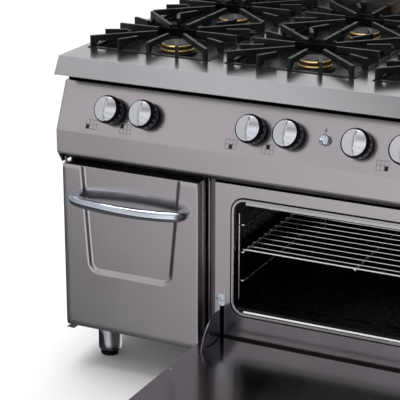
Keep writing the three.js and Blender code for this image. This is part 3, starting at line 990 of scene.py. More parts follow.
# ---- studio ----
@dataclass
class Studio:
    """The camera, a pale floor, a pale room and a soft sun.

    `ladder` is the room's brightness by how steeply one looks up, and `sides` by how far to the right.
    """

    camera_at: Point = (1.5234, -3.6903, 1.8520)
    camera_turn: Point = (71.2, 0.0, 26.3)
    lens: float = 144.03
    floor_half: float = 60.0
    ladder: tuple[tuple[float, float], ...] = (
        (-1.0, 0.13), (-0.60, 0.08), (-0.50, 0.07), (-0.45, 0.14), (-0.41, 0.36), (-0.385, 0.62),
        (-0.36, 0.74), (-0.33, 0.72), (-0.30, 0.84), (-0.24, 1.02), (0.0, 0.90), (0.30, 0.66), (0.36, 0.78),
        (0.43, 1.15), (0.47, 1.20), (0.50, 0.45), (0.53, 0.40), (0.57, 0.78), (0.62, 1.0), (0.66, 1.15),
        (0.70, 1.10), (0.75, 0.90), (0.79, 0.15), (0.85, 0.12), (0.89, 0.60), (1.0, 0.80),
    )
    sides: tuple[tuple[float, float], ...] = (
        (-1.0, 0.5), (-0.55, 1.0), (-0.25, 1.0), (0.0, 1.35), (0.35, 1.45), (0.55, 0.5), (0.75, 0.14),
        (1.0, 0.14),
    )
    lean_across: tuple[float, float] = (-0.62, -0.22)
    lean_up: tuple[float, float] = (-0.2, 0.2)
    sun_power: float = 1.9
    sun_spread: float = 44.0
    sun_turn: Point = (-6.0, -12.0, 0.0)

    def camera(self) -> None:
        """Makes the camera at the viewing angle."""
        data = bpy.data.cameras.new("camera")
        data.lens = self.lens
        data.sensor_width = 36.0
        camera = bpy.data.objects.new("camera", data)
        camera.location = self.camera_at
        camera.rotation_euler = Euler([math.radians(a) for a in self.camera_turn])
        bpy.context.scene.collection.objects.link(camera)
        bpy.context.scene.camera = camera

    def floor(self) -> None:
        """Lays the pale floor."""
        shape = Shape()
        half = self.floor_half
        corners = ((-half, -half, 0.0), (half, -half, 0.0), (half, half, 0.0), (-half, half, 0.0))
        shape.mesh.faces.new(shape.loop(corners))
        mesh = shape.done("studio_floor")
        recipe = Recipe("studio_floor", metallic=0.0)
        clouds = recipe.noise((0.6, 0.6, 0.6), 2.0)
        recipe.colour(clouds, (0.84, 0.84, 0.85), (0.86, 0.86, 0.87))
        recipe.shader.inputs["Roughness"].default_value = 0.9
        mesh.materials.append(recipe.material)
        floor = bpy.data.objects.new("studio_floor", mesh)
        bpy.context.scene.collection.objects.link(floor)
        floor.visible_glossy = False

    def room(self) -> None:
        """Fills the world with a pale room in level bands, which lean down to the left."""
        world = bpy.data.worlds.new("room")
        world.use_nodes = True
        tree = world.node_tree
        coords = tree.nodes.new("ShaderNodeTexCoord")
        split = tree.nodes.new("ShaderNodeSeparateXYZ")
        tree.links.new(coords.outputs["Generated"], split.inputs[0])
        near = tree.nodes.new("ShaderNodeMapRange")
        set_range(near, self.lean_across, self.lean_up)
        tree.links.new(split.outputs["X"], near.inputs["Value"])
        lean = tree.nodes.new("ShaderNodeMath")
        tree.links.new(split.outputs["Z"], lean.inputs[0])
        tree.links.new(near.outputs["Result"], lean.inputs[1])
        level = self.graded(tree, lean.outputs["Value"], self.ladder)
        across = self.graded(tree, split.outputs["X"], self.sides)
        background = tree.nodes["Background"]
        tree.links.new(level, background.inputs["Color"])
        tree.links.new(across, background.inputs["Strength"])
        bpy.context.scene.world = world

    def graded(
        self, tree: bpy.types.NodeTree, value: bpy.types.NodeSocket, steps: Sequence[tuple[float, float]]
    ) -> bpy.types.NodeSocket:
        """A grey that follows a value from -1 to 1.

        Args:
            tree: the world's node tree.
            value: the value.
            steps: the value and the brightness at each step.

        Returns:
            The ramp's colour socket, whose steps are held at half their brightness and then doubled.
        """
        spread = tree.nodes.new("ShaderNodeMapRange")
        spread.inputs["From Min"].default_value = -1.0
        tree.links.new(value, spread.inputs["Value"])
        ramp = tree.nodes.new("ShaderNodeValToRGB")
        tree.links.new(spread.outputs["Result"], ramp.inputs["Fac"])
        stops = ramp.color_ramp.elements
        while len(stops) < len(steps):
            stops.new(0.5)
        for stop, (level, light) in zip(stops, steps):
            stop.position = (level + 1.0) / 2.0
            stop.color = (light / 2, light / 2, light / 2, 1.0)
        double = tree.nodes.new("ShaderNodeVectorMath")
        double.operation = "SCALE"
        double.inputs["Scale"].default_value = 2.0
        tree.links.new(ramp.outputs["Color"], double.inputs[0])
        return double.outputs["Vector"]

    def lights(self) -> None:
        """Hangs a soft sun nearly overhead, in a pale room."""
        self.room()
        sun = bpy.data.lights.new("high_window", "SUN")
        sun.energy = self.sun_power
        sun.angle = math.radians(self.sun_spread)
        lamp = bpy.data.objects.new("high_window", sun)
        lamp.rotation_euler = Euler([math.radians(a) for a in self.sun_turn])
        bpy.context.scene.collection.objects.link(lamp)

    def build(self) -> None:
        """Sets up the studio."""
        bpy.context.scene.view_settings.view_transform = "Standard"
        self.camera()
        self.floor()
        self.lights()


# ---- carcass ----
@dataclass
class Carcass:
    """Sides, back, base and the wall between cupboard and oven."""

    rounding: float = 0.9
    screw_rows: tuple[float, ...] = (140.0, 360.0, 580.0, 790.0)
    screw_columns: tuple[float, ...] = (-575.0, -285.0, 0.0, 285.0, 575.0)

    def panels(self) -> None:
        """The folded sheets of the body."""
        sheets = {
            "side_panel_left": SIDE_STEEL, "side_panel_right": SIDE_STEEL, "back_panel": SHEET_STEEL,
            "bottom_panel": SHEET_STEEL, "divider_panel": SIDE_STEEL,
        }
        for node, finish in sheets.items():
            piece(f"{node}_sheet", softened(node, self.rounding), finish, "range", [node])

    def screws(self) -> None:
        """Screws round the edge of the back panel."""
        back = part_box("back_panel")[1].y
        edge = (self.screw_columns[0], self.screw_columns[-1])
        ends = (self.screw_rows[0], self.screw_rows[-1])
        spots = [(x, z) for x in self.screw_columns for z in self.screw_rows if x in edge or z in ends]
        places = [(Vector((x * MM, back, z * MM)), BACKWARD) for x, z in spots]
        REPEATS.spread("back_screws", screw_model(4.5), places, CHROME, "range")

    def build(self) -> None:
        """Builds the carcass."""
        self.panels()
        self.screws()


@dataclass
class Legs:
    """Four tube legs with screw-in feet."""

    radius: float = 32.0
    foot: float = 26.0
    corners: tuple[str, ...] = ("front_left", "front_right", "rear_left", "rear_right")

    def build(self) -> None:
        """Turns each leg at its CAD place."""
        for corner in self.corners:
            low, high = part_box(f"leg_{corner}")
            middle = (low + high) / 2
            top = high.z / MM
            place = Matrix.Translation((middle.x, middle.y, 0.0))
            tube_r, foot_r = self.radius, self.foot
            tube_profile = [
                (0, 17.5), (tube_r - 3, 17.5), (tube_r - 0.8, 18.2), (tube_r, 20), (tube_r, 40),
                (tube_r, top - 1), (tube_r - 0.6, top), (0, top),
            ]
            foot_profile = [
                (0, 0), (foot_r - 3, 0), (foot_r - 0.8, 1), (foot_r, 3.5), (foot_r, 9), (foot_r - 1.5, 11),
                (21, 12), (21, 17.4), (0, 17.4),
            ]
            shape = Shape()
            shape.lathe(tube_profile, place, 64)
            piece(f"leg_{corner}_tube", shape.done("leg_tube"), LEG_CHROME, "range", [f"leg_{corner}"])
            shape = Shape()
            shape.lathe(foot_profile, place, 48)
            piece(f"leg_{corner}_foot", shape.done("leg_foot"), PLASTIC, "range")


# ---- control panel ----
@dataclass
class ControlPanel:
    """The sloping panel with its burner signs, spark sign and button."""

    depth: float = -42.25
    height: float = 737.0
    tilt: float = math.atan2(54.5, 122.0)
    igniter: float = 147.0
    knob_spots: tuple[float, ...] = (-445.0, -345.0, -45.0, 55.0, 355.0, 455.0)
    thermostat: float = 234.0
    sign_shift: tuple[float, float] = (-54.0, -41.5)
    sign_size: tuple[float, float] = (31.0, 24.5)
    line: float = 0.9
    cell_gap: float = 0.8
    print_height: float = 0.12
    spark_shift: tuple[float, float] = (-3.0, 24.0)

    def place(self, x: float, along: float = 0.0, up: float = 0.0) -> Matrix:
        """Finds a place on the panel's face.

        Args:
            x: how far across the range, in millimetres.
            along: a shift to the right, in millimetres.
            up: a shift up the slope, in millimetres.

        Returns:
            The place: X runs across, Y up the slope and Z out of the face.
        """
        turn = Matrix.Rotation(math.pi / 2 - self.tilt, 4, "X")
        shift = Matrix.Translation((along * MM, up * MM, 0.0))
        return Matrix.Translation(spot(x, self.depth, self.height)) @ turn @ shift

    def sheet(self) -> None:
        """The folded panel, and the strip beneath it in dark steel, which paints the shade under the
        panel's lip.
        """
        piece("control_fascia", softened("control_panel", 0.8), SHEET_STEEL, "range", ["control_panel"])
        # Painted shade: the strip under the panel is dark steel standing for the shadow beneath its lip.
        piece("fascia_underside", softened("lower_valance", 0.6), DARK_STEEL, "range", ["lower_valance"])

    def sign(self, number: int, x: float) -> None:
        """Prints one burner sign: a grid of six cells with the knob's own burner filled.

        Args:
            number: the burner's number, from 1, in pairs of front and back from the left.
            x: where its knob is.
        """
        place = self.place(x, *self.sign_shift)
        wide, tall = (size * MM for size in self.sign_size)
        half, top, gap = self.line / 2 * MM, self.print_height * MM, self.cell_gap * MM
        lines = Shape()
        for i in range(4):
            at = -wide / 2 + i * wide / 3
            lines.slab((at - half, -tall / 2, 0), (at + half, tall / 2, top), place)
        for i in range(3):
            at = -tall / 2 + i * tall / 2
            lines.slab((-wide / 2, at - half, 0), (wide / 2, at + half, top * 1.05), place)
        piece(f"sign_{number}_lines", lines.done("sign_lines"), GREY_PRINT, "range")
        column, row = divmod(number - 1, 2)
        left, low = -wide / 2 + column * wide / 3 + gap, -tall / 2 + row * tall / 2 + gap
        cell = Shape()
        right, high = left + wide / 3 - 2 * gap, low + tall / 2 - 2 * gap
        cell.slab((left, low, 0), (right, high, top * 1.2), place)
        piece(f"sign_{number}_cell", cell.done("sign_cell"), BLACK_PRINT, "range")

    def spark_sign(self) -> None:
        """Prints a spark above the button."""
        place = self.place(self.igniter, *self.spark_shift)
        bolt = ((1, 8), (-4, -1), (-0.6, -0.6), (-2, -8), (4, 1.2), (0.8, 0.8))
        heights = (0.0, self.print_height)
        shape = Shape()
        shape.loft([[place @ (Vector((x, y, z)) * MM) for x, y in bolt] for z in heights])
        piece("spark_sign", shape.done("spark_sign"), GREY_PRINT, "range")

    def button(self) -> None:
        """The spring button and the collar round it."""
        place = self.place(self.igniter)
        profile = [
            (0, -16), (5, -16), (5, 6), (12.4, 6), (13.1, 6.5), (13.4, 7.5), (13.4, 11), (12.9, 12),
            (11.5, 13), (9.0, 12.5), (4.0, 11.9), (0, 11.8),
        ]
        shape = Shape()
        shape.lathe(profile, place, 48)
        piece("igniter_cap", shape.done("igniter_cap"), CHROME, "igniter_button", ["igniter_button"])
        ring = [(0, 0.1), (10.8, 0.1), (11.6, 0.3), (11.9, 0.8), (11.4, 1.1), (6.2, 1.1), (0, 1.0)]
        shape = Shape()
        shape.lathe(ring, place, 48)
        piece("igniter_collar", shape.done("igniter_collar"), TRIM_STEEL, "range")

    def build(self) -> None:
        """Builds the panel and its prints."""
        self.sheet()
        for number, x in enumerate(self.knob_spots, start=1):
            self.sign(number, x)
        self.spark_sign()
        self.button()


@dataclass
class Knob:
    """A round black knob with a satin face and a pointed grip."""

    panel: ControlPanel
    x: float
    body: str
    skirt: float = 37.0
    shoulder: float = 36.0
    cap: float = 33.4
    face_half: tuple[float, float] = (30.8, 32.6)
    top: float = 41.2
    ridge_x: float = 3.0
    ridge_half: float = 31.5
    ridge_left: float = 7.5
    ridge_height: float = 6.8
    scoop: float = 3.4
    edge: tuple[tuple[float, float], ...] = ((0.25, 0.25), (0.35, 0.55))
    under: float = 0.58
    segments: int = 112
    rings: int = 30
    pointer_half: tuple[float, float] = (0.9, 17.0)
    marks: tuple[float, ...] = (-62.0, -40.0, -18.0, 4.0, 26.0)
    marks_height: float = 26.0
    mark_half: float = 0.9

    def skirt_piece(self) -> None:
        """The black body: a flared foot, a straight skirt, a shoulder and the cap's wall."""
        r, h, cap, top = self.skirt, self.shoulder, self.cap, self.top
        profile = [
            (0, 14), (4.4, 14), (4.4, 1.2), (33.0, 1.2), (34.2, 2.0), (34.6, 3.2), (36.2, 8), (36.8, 13),
            (r, 19), (r, h - 4.5), (r - 0.4, h - 2.4), (r - 1.4, h - 0.8), (r - 2.8, h), (cap + 0.4, h),
            (cap + 0.1, h + 0.4), (cap, top - 1.0), (cap - 0.5, top - 0.6), (0, top - 0.6),
        ]
        shape = Shape()
        shape.lathe(profile, self.panel.place(self.x), 72)
        piece(f"{self.body}_skirt", shape.done("knob_skirt"), PLASTIC, self.body, [self.body])

    def surface(self, x: float, y: float) -> float:
        """Shapes the silver face: a pointed ridge beside a shallow scoop.

        Args:
            x: how far right of the spindle, in millimetres.
            y: how far up the slope, in millimetres.

        Returns:
            The face's height above the panel, in millimetres.
        """
        taper = math.cos(math.pi / 2 * min(1.0, abs(y) / self.ridge_half)) ** 0.8
        rim = math.sqrt(max(1.0, self.cap**2 - y * y))
        crest = self.ridge_height * taper**0.6
        if x >= self.ridge_x:
            return self.top + crest * (1.0 - (x - self.ridge_x) / (rim + 1.0 - self.ridge_x))
        foot = self.ridge_x - self.ridge_left * taper
        if x > foot:
            share = (x - foot) / (self.ridge_x - foot)
            return self.top + crest * share * share
        share = min(1.0, (foot - x) / (foot + rim))
        return self.top - self.scoop * math.sin(math.pi * share) * taper

    def oval(self, share: float, grown: float, height: float | None = None) -> list[Vector]:
        """Rings the face.

        Args:
            share: the ring's size, as a share of the face.
            grown: millimetres added to its radii.
            height: the ring's height above the panel, or None where it follows the face.

        Returns:
            The ring's points.
        """
        place = self.panel.place(self.x)
        wide, tall = (half * share + grown for half in self.face_half)
        ring = []
        for i in range(self.segments):
            angle = 2 * math.pi * i / self.segments
            x, y = wide * math.cos(angle), tall * math.sin(angle)
            z = self.surface(x, y) if height is None else height
            ring.append(place @ (Vector((x, y, z)) * MM))
        return ring

    def face_piece(self) -> None:
        """The satin face, from its centre out to a turned-down edge."""
        place = self.panel.place(self.x)
        shape = Shape()
        loops = [shape.loop(self.oval(k / self.rings, 0.0)) for k in range(1, self.rings + 1)]
        loops += [shape.loop(self.oval(1.0, grown, self.top - drop)) for grown, drop in self.edge]
        middle = self.surface(0.0, 0.0)
        ends = (middle, self.top - self.under)
        centre, under = shape.loop(place @ (Vector((0.0, 0.0, z)) * MM) for z in ends)
        for lower, upper in zip(loops, loops[1:]):
            shape.bridge(lower, upper)
        for i in range(self.segments):
            j = (i + 1) % self.segments
            shape.mesh.faces.new((loops[0][j], loops[0][i], centre))
            shape.mesh.faces.new((loops[-1][i], loops[-1][j], under))
        mesh = shape.done("knob_face", math.radians(50.0))
        piece(f"{self.body}_face", mesh, FACE_SILVER, self.body)

    def pointer(self) -> None:
        """The bright index line along the ridge."""
        place = self.panel.place(self.x)
        crest = self.top + self.ridge_height
        wide, tall = self.pointer_half
        low = Vector((self.ridge_x - wide, -tall, crest - 1.2)) * MM
        high = Vector((self.ridge_x + wide, tall, crest + 0.2)) * MM
        shape = Shape()
        shape.slab(low, high, place)
        piece(f"{self.body}_pointer", shape.done("knob_pointer"), WHITE_PRINT, self.body)

    def prints(self) -> None:
        """White settings marks round the side of the skirt."""
        shape = Shape()
        for i, angle in enumerate(self.marks):
            turn = self.panel.place(self.x) @ Matrix.Rotation(math.radians(angle), 4, "Z")
            tall = 2.2 if i % 2 else 3.4
            radius = self.skirt - 0.05
            low = Vector((radius, -self.mark_half, self.marks_height - tall / 2)) * MM
            high = Vector((radius + 0.12, self.mark_half, self.marks_height + tall / 2)) * MM
            shape.slab(low, high, turn)
        piece(f"{self.body}_marks", shape.done("knob_marks"), WHITE_PRINT, self.body)

    def build(self) -> None:
        """Builds the knob."""
        self.skirt_piece()
        self.face_piece()
        self.pointer()
        self.prints()


@dataclass
class GasLine:
    """The rail behind the panel, its taps and the inlet at the back."""

    panel: ControlPanel
    radius: float = 11.0
    inlet_radius: float = 13.0
    inlet_x: float = 560.0
    inset: float = 50.0
    half: float = 570.0
    thread_start: float = 24.0
    thread_pitch: float = 2.3

    def build(self) -> None:
        """Builds the line as one smooth piece and threads the inlet."""
        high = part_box("gas_rail")[1]
        depth = self.panel.depth + self.inset * math.cos(self.panel.tilt)
        height = self.panel.height - self.inset * math.sin(self.panel.tilt)
        shape = Shape()
        across = Matrix.Translation(spot(-self.half, depth, height)) @ Matrix.Rotation(math.pi / 2, 4, "Y")
        r, end = self.radius, 2 * self.half
        shape.lathe([(0, 0), (r - 1, 0), (r, 1), (r, end - 1), (r - 1, end), (0, end)], across, 24)
        back = Matrix.Translation(spot(self.inlet_x, depth, height)) @ Matrix.Rotation(-math.pi / 2, 4, "X")
        length = (high.y - spot(0, depth, 0).y) / MM
        r = self.inlet_radius
        pipe = [(0, 0), (r - 1.2, 0), (r - 1.2, length - self.thread_start - 2)]
        z = length - self.thread_start
        while z < length - self.thread_pitch:
            pipe += [(r - 1.1, z), (r - 0.1, z + self.thread_pitch / 2)]
            z += self.thread_pitch
        pipe += [(r - 1.4, length - 0.2), (9.5, length - 0.1), (9.5, length - 20), (0, length - 20)]
        shape.lathe(pipe, back, 32)
        tap = [
            (0, -66), (12.5, -66), (13.5, -64), (13.5, -50), (11, -48), (13.5, -46), (13.5, -9), (12.5, -8),
            (4, -8), (4, 12), (0, 12),
        ]
        for x in (*self.panel.knob_spots, self.panel.thermostat):
            shape.lathe(tap, self.panel.place(x), 20)
        piece("gas_line", shape.done("gas_line"), BRASS, "range", ["gas_rail"])


# ---- hob ----
@dataclass
class Hob:
    """The pressed worktop, its enamel wells and the flue along the back."""

    sides: tuple[str, ...] = ("left", "middle", "right")

    def build(self) -> None:
        """Builds the sheets of the hob."""
        piece("worktop_sheet", softened("worktop", 0.5, 2), HOB_STEEL, "range", ["worktop"])
        for side in self.sides:
            node = f"burner_tray_{side}"
            piece(f"{node}_well", softened(node, 1.4, 3), ENAMEL, "range", [node])
        piece("flue_box", softened("flue_outlet", 1.0), SHEET_STEEL, "range", ["flue_outlet"])


@dataclass
class Burner:
    """One open burner: a cast cup, a brass crown with ports and a dark cap."""

    number: int
    crown: float = 43.0
    ports: int = 36
    port_low: float = 853.0
    port_high: float = 859.5
    port_depth: float = 1.8

    def cup(self, place: Matrix) -> None:
        """The cast cup beneath the crown.

        Args:
            place: the burner's middle, at floor level.
        """
        profile = [
            (0, 780), (17, 780), (18, 781), (18, 799), (20, 801.5), (48, 820), (50, 823), (51, 830),
            (51, 842), (50.3, 843), (31, 843), (29.5, 841), (26, 816), (25, 815), (0, 815),
        ]
        shape = Shape()
        shape.lathe(profile, place, 48)
        node = f"burner_cup_{self.number}"
        piece(f"{node}_casting", shape.done(node), IRON, "range", [node])

    def crown_ring(self, place: Matrix) -> None:
        """The brass crown, notched with upright ports.

        Args:
            place: the burner's middle, at floor level.
        """
        shape = Shape()
        r, low, high = self.crown, self.port_low, self.port_high
        profile = [
            (20.0, 843.5), (45.2, 843.4), (46.0, 844.2), (46.4, 848.6), (45.6, 849.9), (43.6, 851.2),
            (r, 852.0), (r, low), (r, low + 0.05), (r, high), (r, high + 0.05), (42.8, 861.0),
            (41.9, 862.2), (38.5, 863.8), (37.5, 863.9), (20.0, 863.9),
        ]
        steps = self.ports * 4
        rings = []
        for radius, height in profile:
            notched = low < height < high + 0.02
            ring = []
            for i in range(steps):
                angle = 2 * math.pi * (i + (0.22 if i % 4 in (1, 3) else 0.0)) / steps
                out = radius - (self.port_depth if notched and i % 4 in (1, 2) else 0.0)
                ring.append(place @ (Vector((out * math.cos(angle), out * math.sin(angle), height)) * MM))
            rings.append(ring)
        shape.loft(rings)
        node = f"burner_crown_{self.number}"
        piece(f"{node}_ring", shape.done(node), BRASS, "range", [node])

    def cap(self, place: Matrix) -> None:
        """The dark cap on top.

        Args:
            place: the burner's middle, at floor level.
        """
        profile = [
            (0, 863.0), (36.6, 863.0), (37.6, 863.6), (37.9, 864.4), (37.0, 865.4), (34, 866.2),
            (20, 866.8), (0, 867),
        ]
        shape = Shape()
        shape.lathe(profile, place, 48)
        piece(f"burner_cap_{self.number}", shape.done("burner_cap"), IRON, "range")

    def build(self) -> None:
        """Builds the burner and its pan support."""
        low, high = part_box(f"burner_crown_{self.number}")
        middle = (low + high) / 2
        place = Matrix.Translation((middle.x, middle.y, 0.0))
        self.cup(place)
        self.crown_ring(place)
        self.cap(place)
        node = f"pan_support_{self.number}"
        piece(f"{node}_grid", softened(node, 1.3, 2), IRON, node, [node])


# ---- oven ----
@dataclass
class OvenBody:
    """The oven's front, mouth, chamber and burner."""

    middle: float = OVEN_MIDDLE
    frame_half: float = 395.0
    frame_z: tuple[float, float] = (112.0, 580.0)
    mouth_half: float = 321.0
    mouth_z: tuple[float, float] = (222.0, 531.0)
    corner: float = 30.0
    strip_inset: float = 26.0
    hinge_offset: float = HINGE_OFFSET
    slot_low: float = 119.0
    slot_top: float = 236.0
    slot_half: float = 7.4
    trim: float = 7.0
    gasket: float = 1.6
    burner_z: float = 165.0
    burner_tube: float = 11.0

    def front(self) -> None:
        """The front sheet, the trim round the mouth, and the black bead round the trim."""
        sheet = softened("oven_front_frame", 0.8)
        piece("oven_front_sheet", sheet, UPRIGHT_STEEL, "range", ["oven_front_frame"])
        shape = Shape()
        profile = (
            (0.0, 8.0), (0.0, -1.2), (0.4, -2.0), (1.4, -2.4), (2.6, -2.1), (3.6, -2.0), (4.8, -2.3),
            (6.0, -2.2), (6.8, -1.5), (self.trim, -0.3), (1.2, -0.3), (1.2, 8.0),
        )
        loops = [[spot(x, depth, z) for x, z in self.around(out)] for out, depth in profile]
        rings = [shape.loop(points) for points in loops]
        for first, second in zip(rings, [*rings[1:], rings[0]]):
            shape.bridge(first, second)
        piece("oven_trim_ring", shape.done("oven_trim_ring"), TRIM_STEEL, "range", ["oven_mouth_trim"])
        path = [spot(x, -0.9, z) for x, z in self.around(self.trim + 1.7)]
        bead = WIRES.run("oven_gasket", [[*path, path[0]]], self.gasket, RUBBER, sides=8)
        piece("oven_gasket", bead, RUBBER, "range")

    def margins(self) -> None:
        """Dark strips down both sides of the front frame: a black seam line, and a near-black strip that
        paints the shade of a set-back fold.
        """
        for side, sign in (("left", -1), ("right", 1)):
            edge = self.middle + sign * self.frame_half
            # The fold strips lie flat on the front; their near-black steel paints the shade of a set-back
            # fold.
            for name, near, far, finish in (("seam", 5.5, 8.5, RUBBER), ("fold", 8.5, 20.0, FOLD_SHADE_STEEL)):
                shape = Shape()
                ends = sorted((edge - sign * near, edge - sign * far))
                shape.slab(spot(ends[0], -0.35, self.frame_z[0]), spot(ends[1], -0.02, self.frame_z[1]))
                piece(f"frame_{name}_{side}", shape.done(f"frame_{name}"), finish, "range")

    def around(self, out: float) -> list[tuple[float, float]]:
        """Outlines the mouth.

        Args:
            out: how far outside the mouth the outline runs, in millimetres.

        Returns:
            The outline, as places across and up.
        """
        low = (self.middle - self.mouth_half - out, self.mouth_z[0] - out)
        high = (self.middle + self.mouth_half + out, self.mouth_z[1] + out)
        return rounded_rectangle(low, high, self.corner + out)

    def chamber(self) -> None:
        """The enamelled chamber, the folded strip under its ceiling, and its floor."""
        piece("oven_chamber", softened("oven_cavity", 1.0), ENAMEL, "range", ["oven_cavity"])
        piece("oven_floor", softened("oven_floor_plate", 0.7), ENAMEL, "range", ["oven_floor_plate"])
        half, top = self.mouth_half - self.strip_inset, self.mouth_z[1]
        ends = (self.middle - half, self.middle + half)
        shape = Shape()
        shape.slab(spot(ends[0], 14, top - 14), spot(ends[1], 15.5, top + 2))
        shape.slab(spot(ends[0], 15.5, top + 0.5), spot(ends[1], 34, top + 2))
        piece("ceiling_strip", shape.done("ceiling_strip"), TRIM_STEEL, "range")
        shape = Shape()
        outline = ((6.0, 221.4), (11.2, 232.6), (12.6, 232.0), (7.4, 220.8))
        shape.loft([
            [spot(x + sign * (depth - 8) * 1.2, depth, z) for depth, z in outline]
            for x, sign in zip(ends, (1, -1))
        ])
        # Painted highlight: the sill strip's very pale steel stands for the bright reflection along it.
        piece("sill_strip", shape.done("sill_strip"), SILL_HIGHLIGHT_STEEL, "range")

    def burner(self) -> None:
        """The oven's tube burner, bent into a ladder under the floor."""
        left, right, z = self.middle - 235, self.middle + 235, self.burner_z
        paths = [
            [spot(left, 145, z), spot(left, 550, z), spot(right, 550, z)],
            [spot(left - 5, 150, z), spot(right + 5, 150, z)],
            [spot(right, 60, z), spot(right, 555, z)],
        ]
        mesh = WIRES.run("oven_burner_tube", paths, self.burner_tube, IRON, bend=20.0, sides=20)
        piece("oven_burner_tube", mesh, IRON, "range", ["oven_burner"])

    def hinge_guides(self) -> None:
        """A guide plate over the top of each hinge slot, with its slotted boss and screws."""
        screws = []
        for side, sign in (("left", -1), ("right", 1)):
            x = self.middle + sign * self.hinge_offset
            shape = Shape()
            for lip in (x - self.slot_half, x + self.slot_half):
                shape.slab(spot(lip - 1.6, -1.6, self.slot_low), spot(lip + 1.6, -0.1, self.slot_top))
            shape.slab(spot(x - 9, -1.6, self.slot_top - 2), spot(x + 9, -0.1, self.slot_top + 32))
            seat = Matrix.Translation(spot(x, -1.6, self.slot_top + 16)) @ FORWARD.to_matrix().to_4x4()
            boss = [(0, -0.5), (5.6, -0.5), (5.6, 0.5), (4.8, 1.1), (3.4, 1.2), (2.8, 0.3), (0, 0.3)]
            shape.lathe(boss, seat, 32)
            piece(f"hinge_guide_{side}", shape.done("hinge_guide"), CHROME, "range")
            screws.append((spot(x - 14, -0.1, self.slot_top + 16), FORWARD))
            screws.append((spot(x + 14, -0.1, 140), FORWARD))
        REPEATS.spread("hinge_guide_screws", screw_model(2.6), screws, DARK_STEEL, "range")

    def build(self) -> None:
        """Builds the oven body."""
        self.front()
        self.margins()
        self.chamber()
        self.burner()
        self.hinge_guides()


@dataclass
class Shelving:
    """The wire ladders on the chamber's sides and the rack on their runners."""

    middle: float = OVEN_MIDDLE
    wall: float = 323.0
    runner: float = 309.0
    heights: tuple[float, ...] = (299.0, 378.0, 454.0)
    post_z: tuple[float, float] = (245.5, 484.5)
    reach: tuple[float, float] = (36.0, 640.0)
    wire: float = 3.0
    rack_z: float = 387.0
    rack_back: float = 600.0
    first_bar: float = 63.0
    bars: int = 15
    pitch: float = 35.8

    def ladders(self) -> None:
        """Two ladders: uprights against the wall and bent runners."""
        for side, sign in (("left", -1), ("right", 1)):
            post, out = self.middle + sign * self.wall, self.middle + sign * self.runner
            front, back = self.reach
            paths = [[spot(post, y, z) for z in self.post_z] for y in self.reach]
            for z in self.heights:
                runner = ((post, front), (out, front), (out, back), (post, back))
                paths.append([spot(x, y, z) for x, y in runner])
            mesh = WIRES.run(f"ladder_{side}", paths, self.wire, WIRE_CHROME, bend=4.0)
            piece(f"shelf_ladder_{side}_wires", mesh, WIRE_CHROME, "range", [f"shelf_ladder_{side}"])

    def rack(self) -> None:
        """The sliding rack: a frame, a middle rail and a row of bars."""
        left, right = self.middle - self.runner, self.middle + self.runner
        front, back = self.reach[0], self.rack_back
        rail = self.heights[1] + 2 * self.wire + 0.3
        rails = [[spot(x, front - 2, rail), spot(x, back + 2, rail)] for x in (left, self.middle, right)]
        depths = (front, back, self.first_bar)
        bars = [[spot(x, y, self.rack_z) for x in (left - 2, right + 2)] for y in depths]
        thick = WIRES.run("rack_frame", [*rails, *bars[:2]], self.wire, WIRE_CHROME)
        base = bpy.data.meshes.new("bar_path")
        base.from_pydata(bars[2], [(0, 1)], [])
        thin = ROW.bake(
            "rack_bars", base, WIRE_CHROME, Count=self.bars, Pitch=(0.0, self.pitch * MM, 0.0),
            Radius=(self.wire - 1.0) * MM,
        )
        mesh = merged("oven_rack_wires", [thick, thin])
        piece("oven_rack_wires", mesh, WIRE_CHROME, "oven_rack", ["oven_rack"])

    def build(self) -> None:
        """Builds ladders and rack."""
        self.ladders()
        self.rack()


# ---- doors ----
@dataclass
class Emboss:
    """A pressed field that narrows downwards and runs out at the door's top edge, in millimetres."""

    top_left: float
    foot_left: float
    top_right: float
    foot_right: float
    top: float
    foot: float
    corner: float = 30.0
    wall: float = 12.0
    sink: float = 7.6

    def edges(self, z: float) -> tuple[float, float]:
        """Finds the field's sides at a height.

        Args:
            z: the height.

        Returns:
            The left and the right side.
        """
        t = (self.top - z) / (self.top - self.foot)
        return (
            self.top_left + (self.foot_left - self.top_left) * t,
            self.top_right + (self.foot_right - self.top_right) * t,
        )

    def inside(self, x: float, z: float) -> float:
        """Measures how far inside the field a point lies.

        Args:
            x: how far across the point is.
            z: its height.

        Returns:
            The distance from the field's outline, negative outside it.
        """
        left, right = self.edges(z)
        lean_left = math.hypot(1.0, (self.foot_left - self.top_left) / (self.top - self.foot))
        lean_right = math.hypot(1.0, (self.foot_right - self.top_right) / (self.top - self.foot))
        across = min((x - left) / lean_left, (right - x) / lean_right)
        down = z - self.foot
        if across < self.corner and down < self.corner:
            return self.corner - math.hypot(self.corner - across, self.corner - down)
        return min(across, down)

    def depth(self, x: float, z: float) -> float:
        """How deep the sheet is pressed at a point across and up."""
        share = min(1.0, max(0.0, self.inside(x, z) / self.wall))
        return self.sink * share * share * (3 - 2 * share)


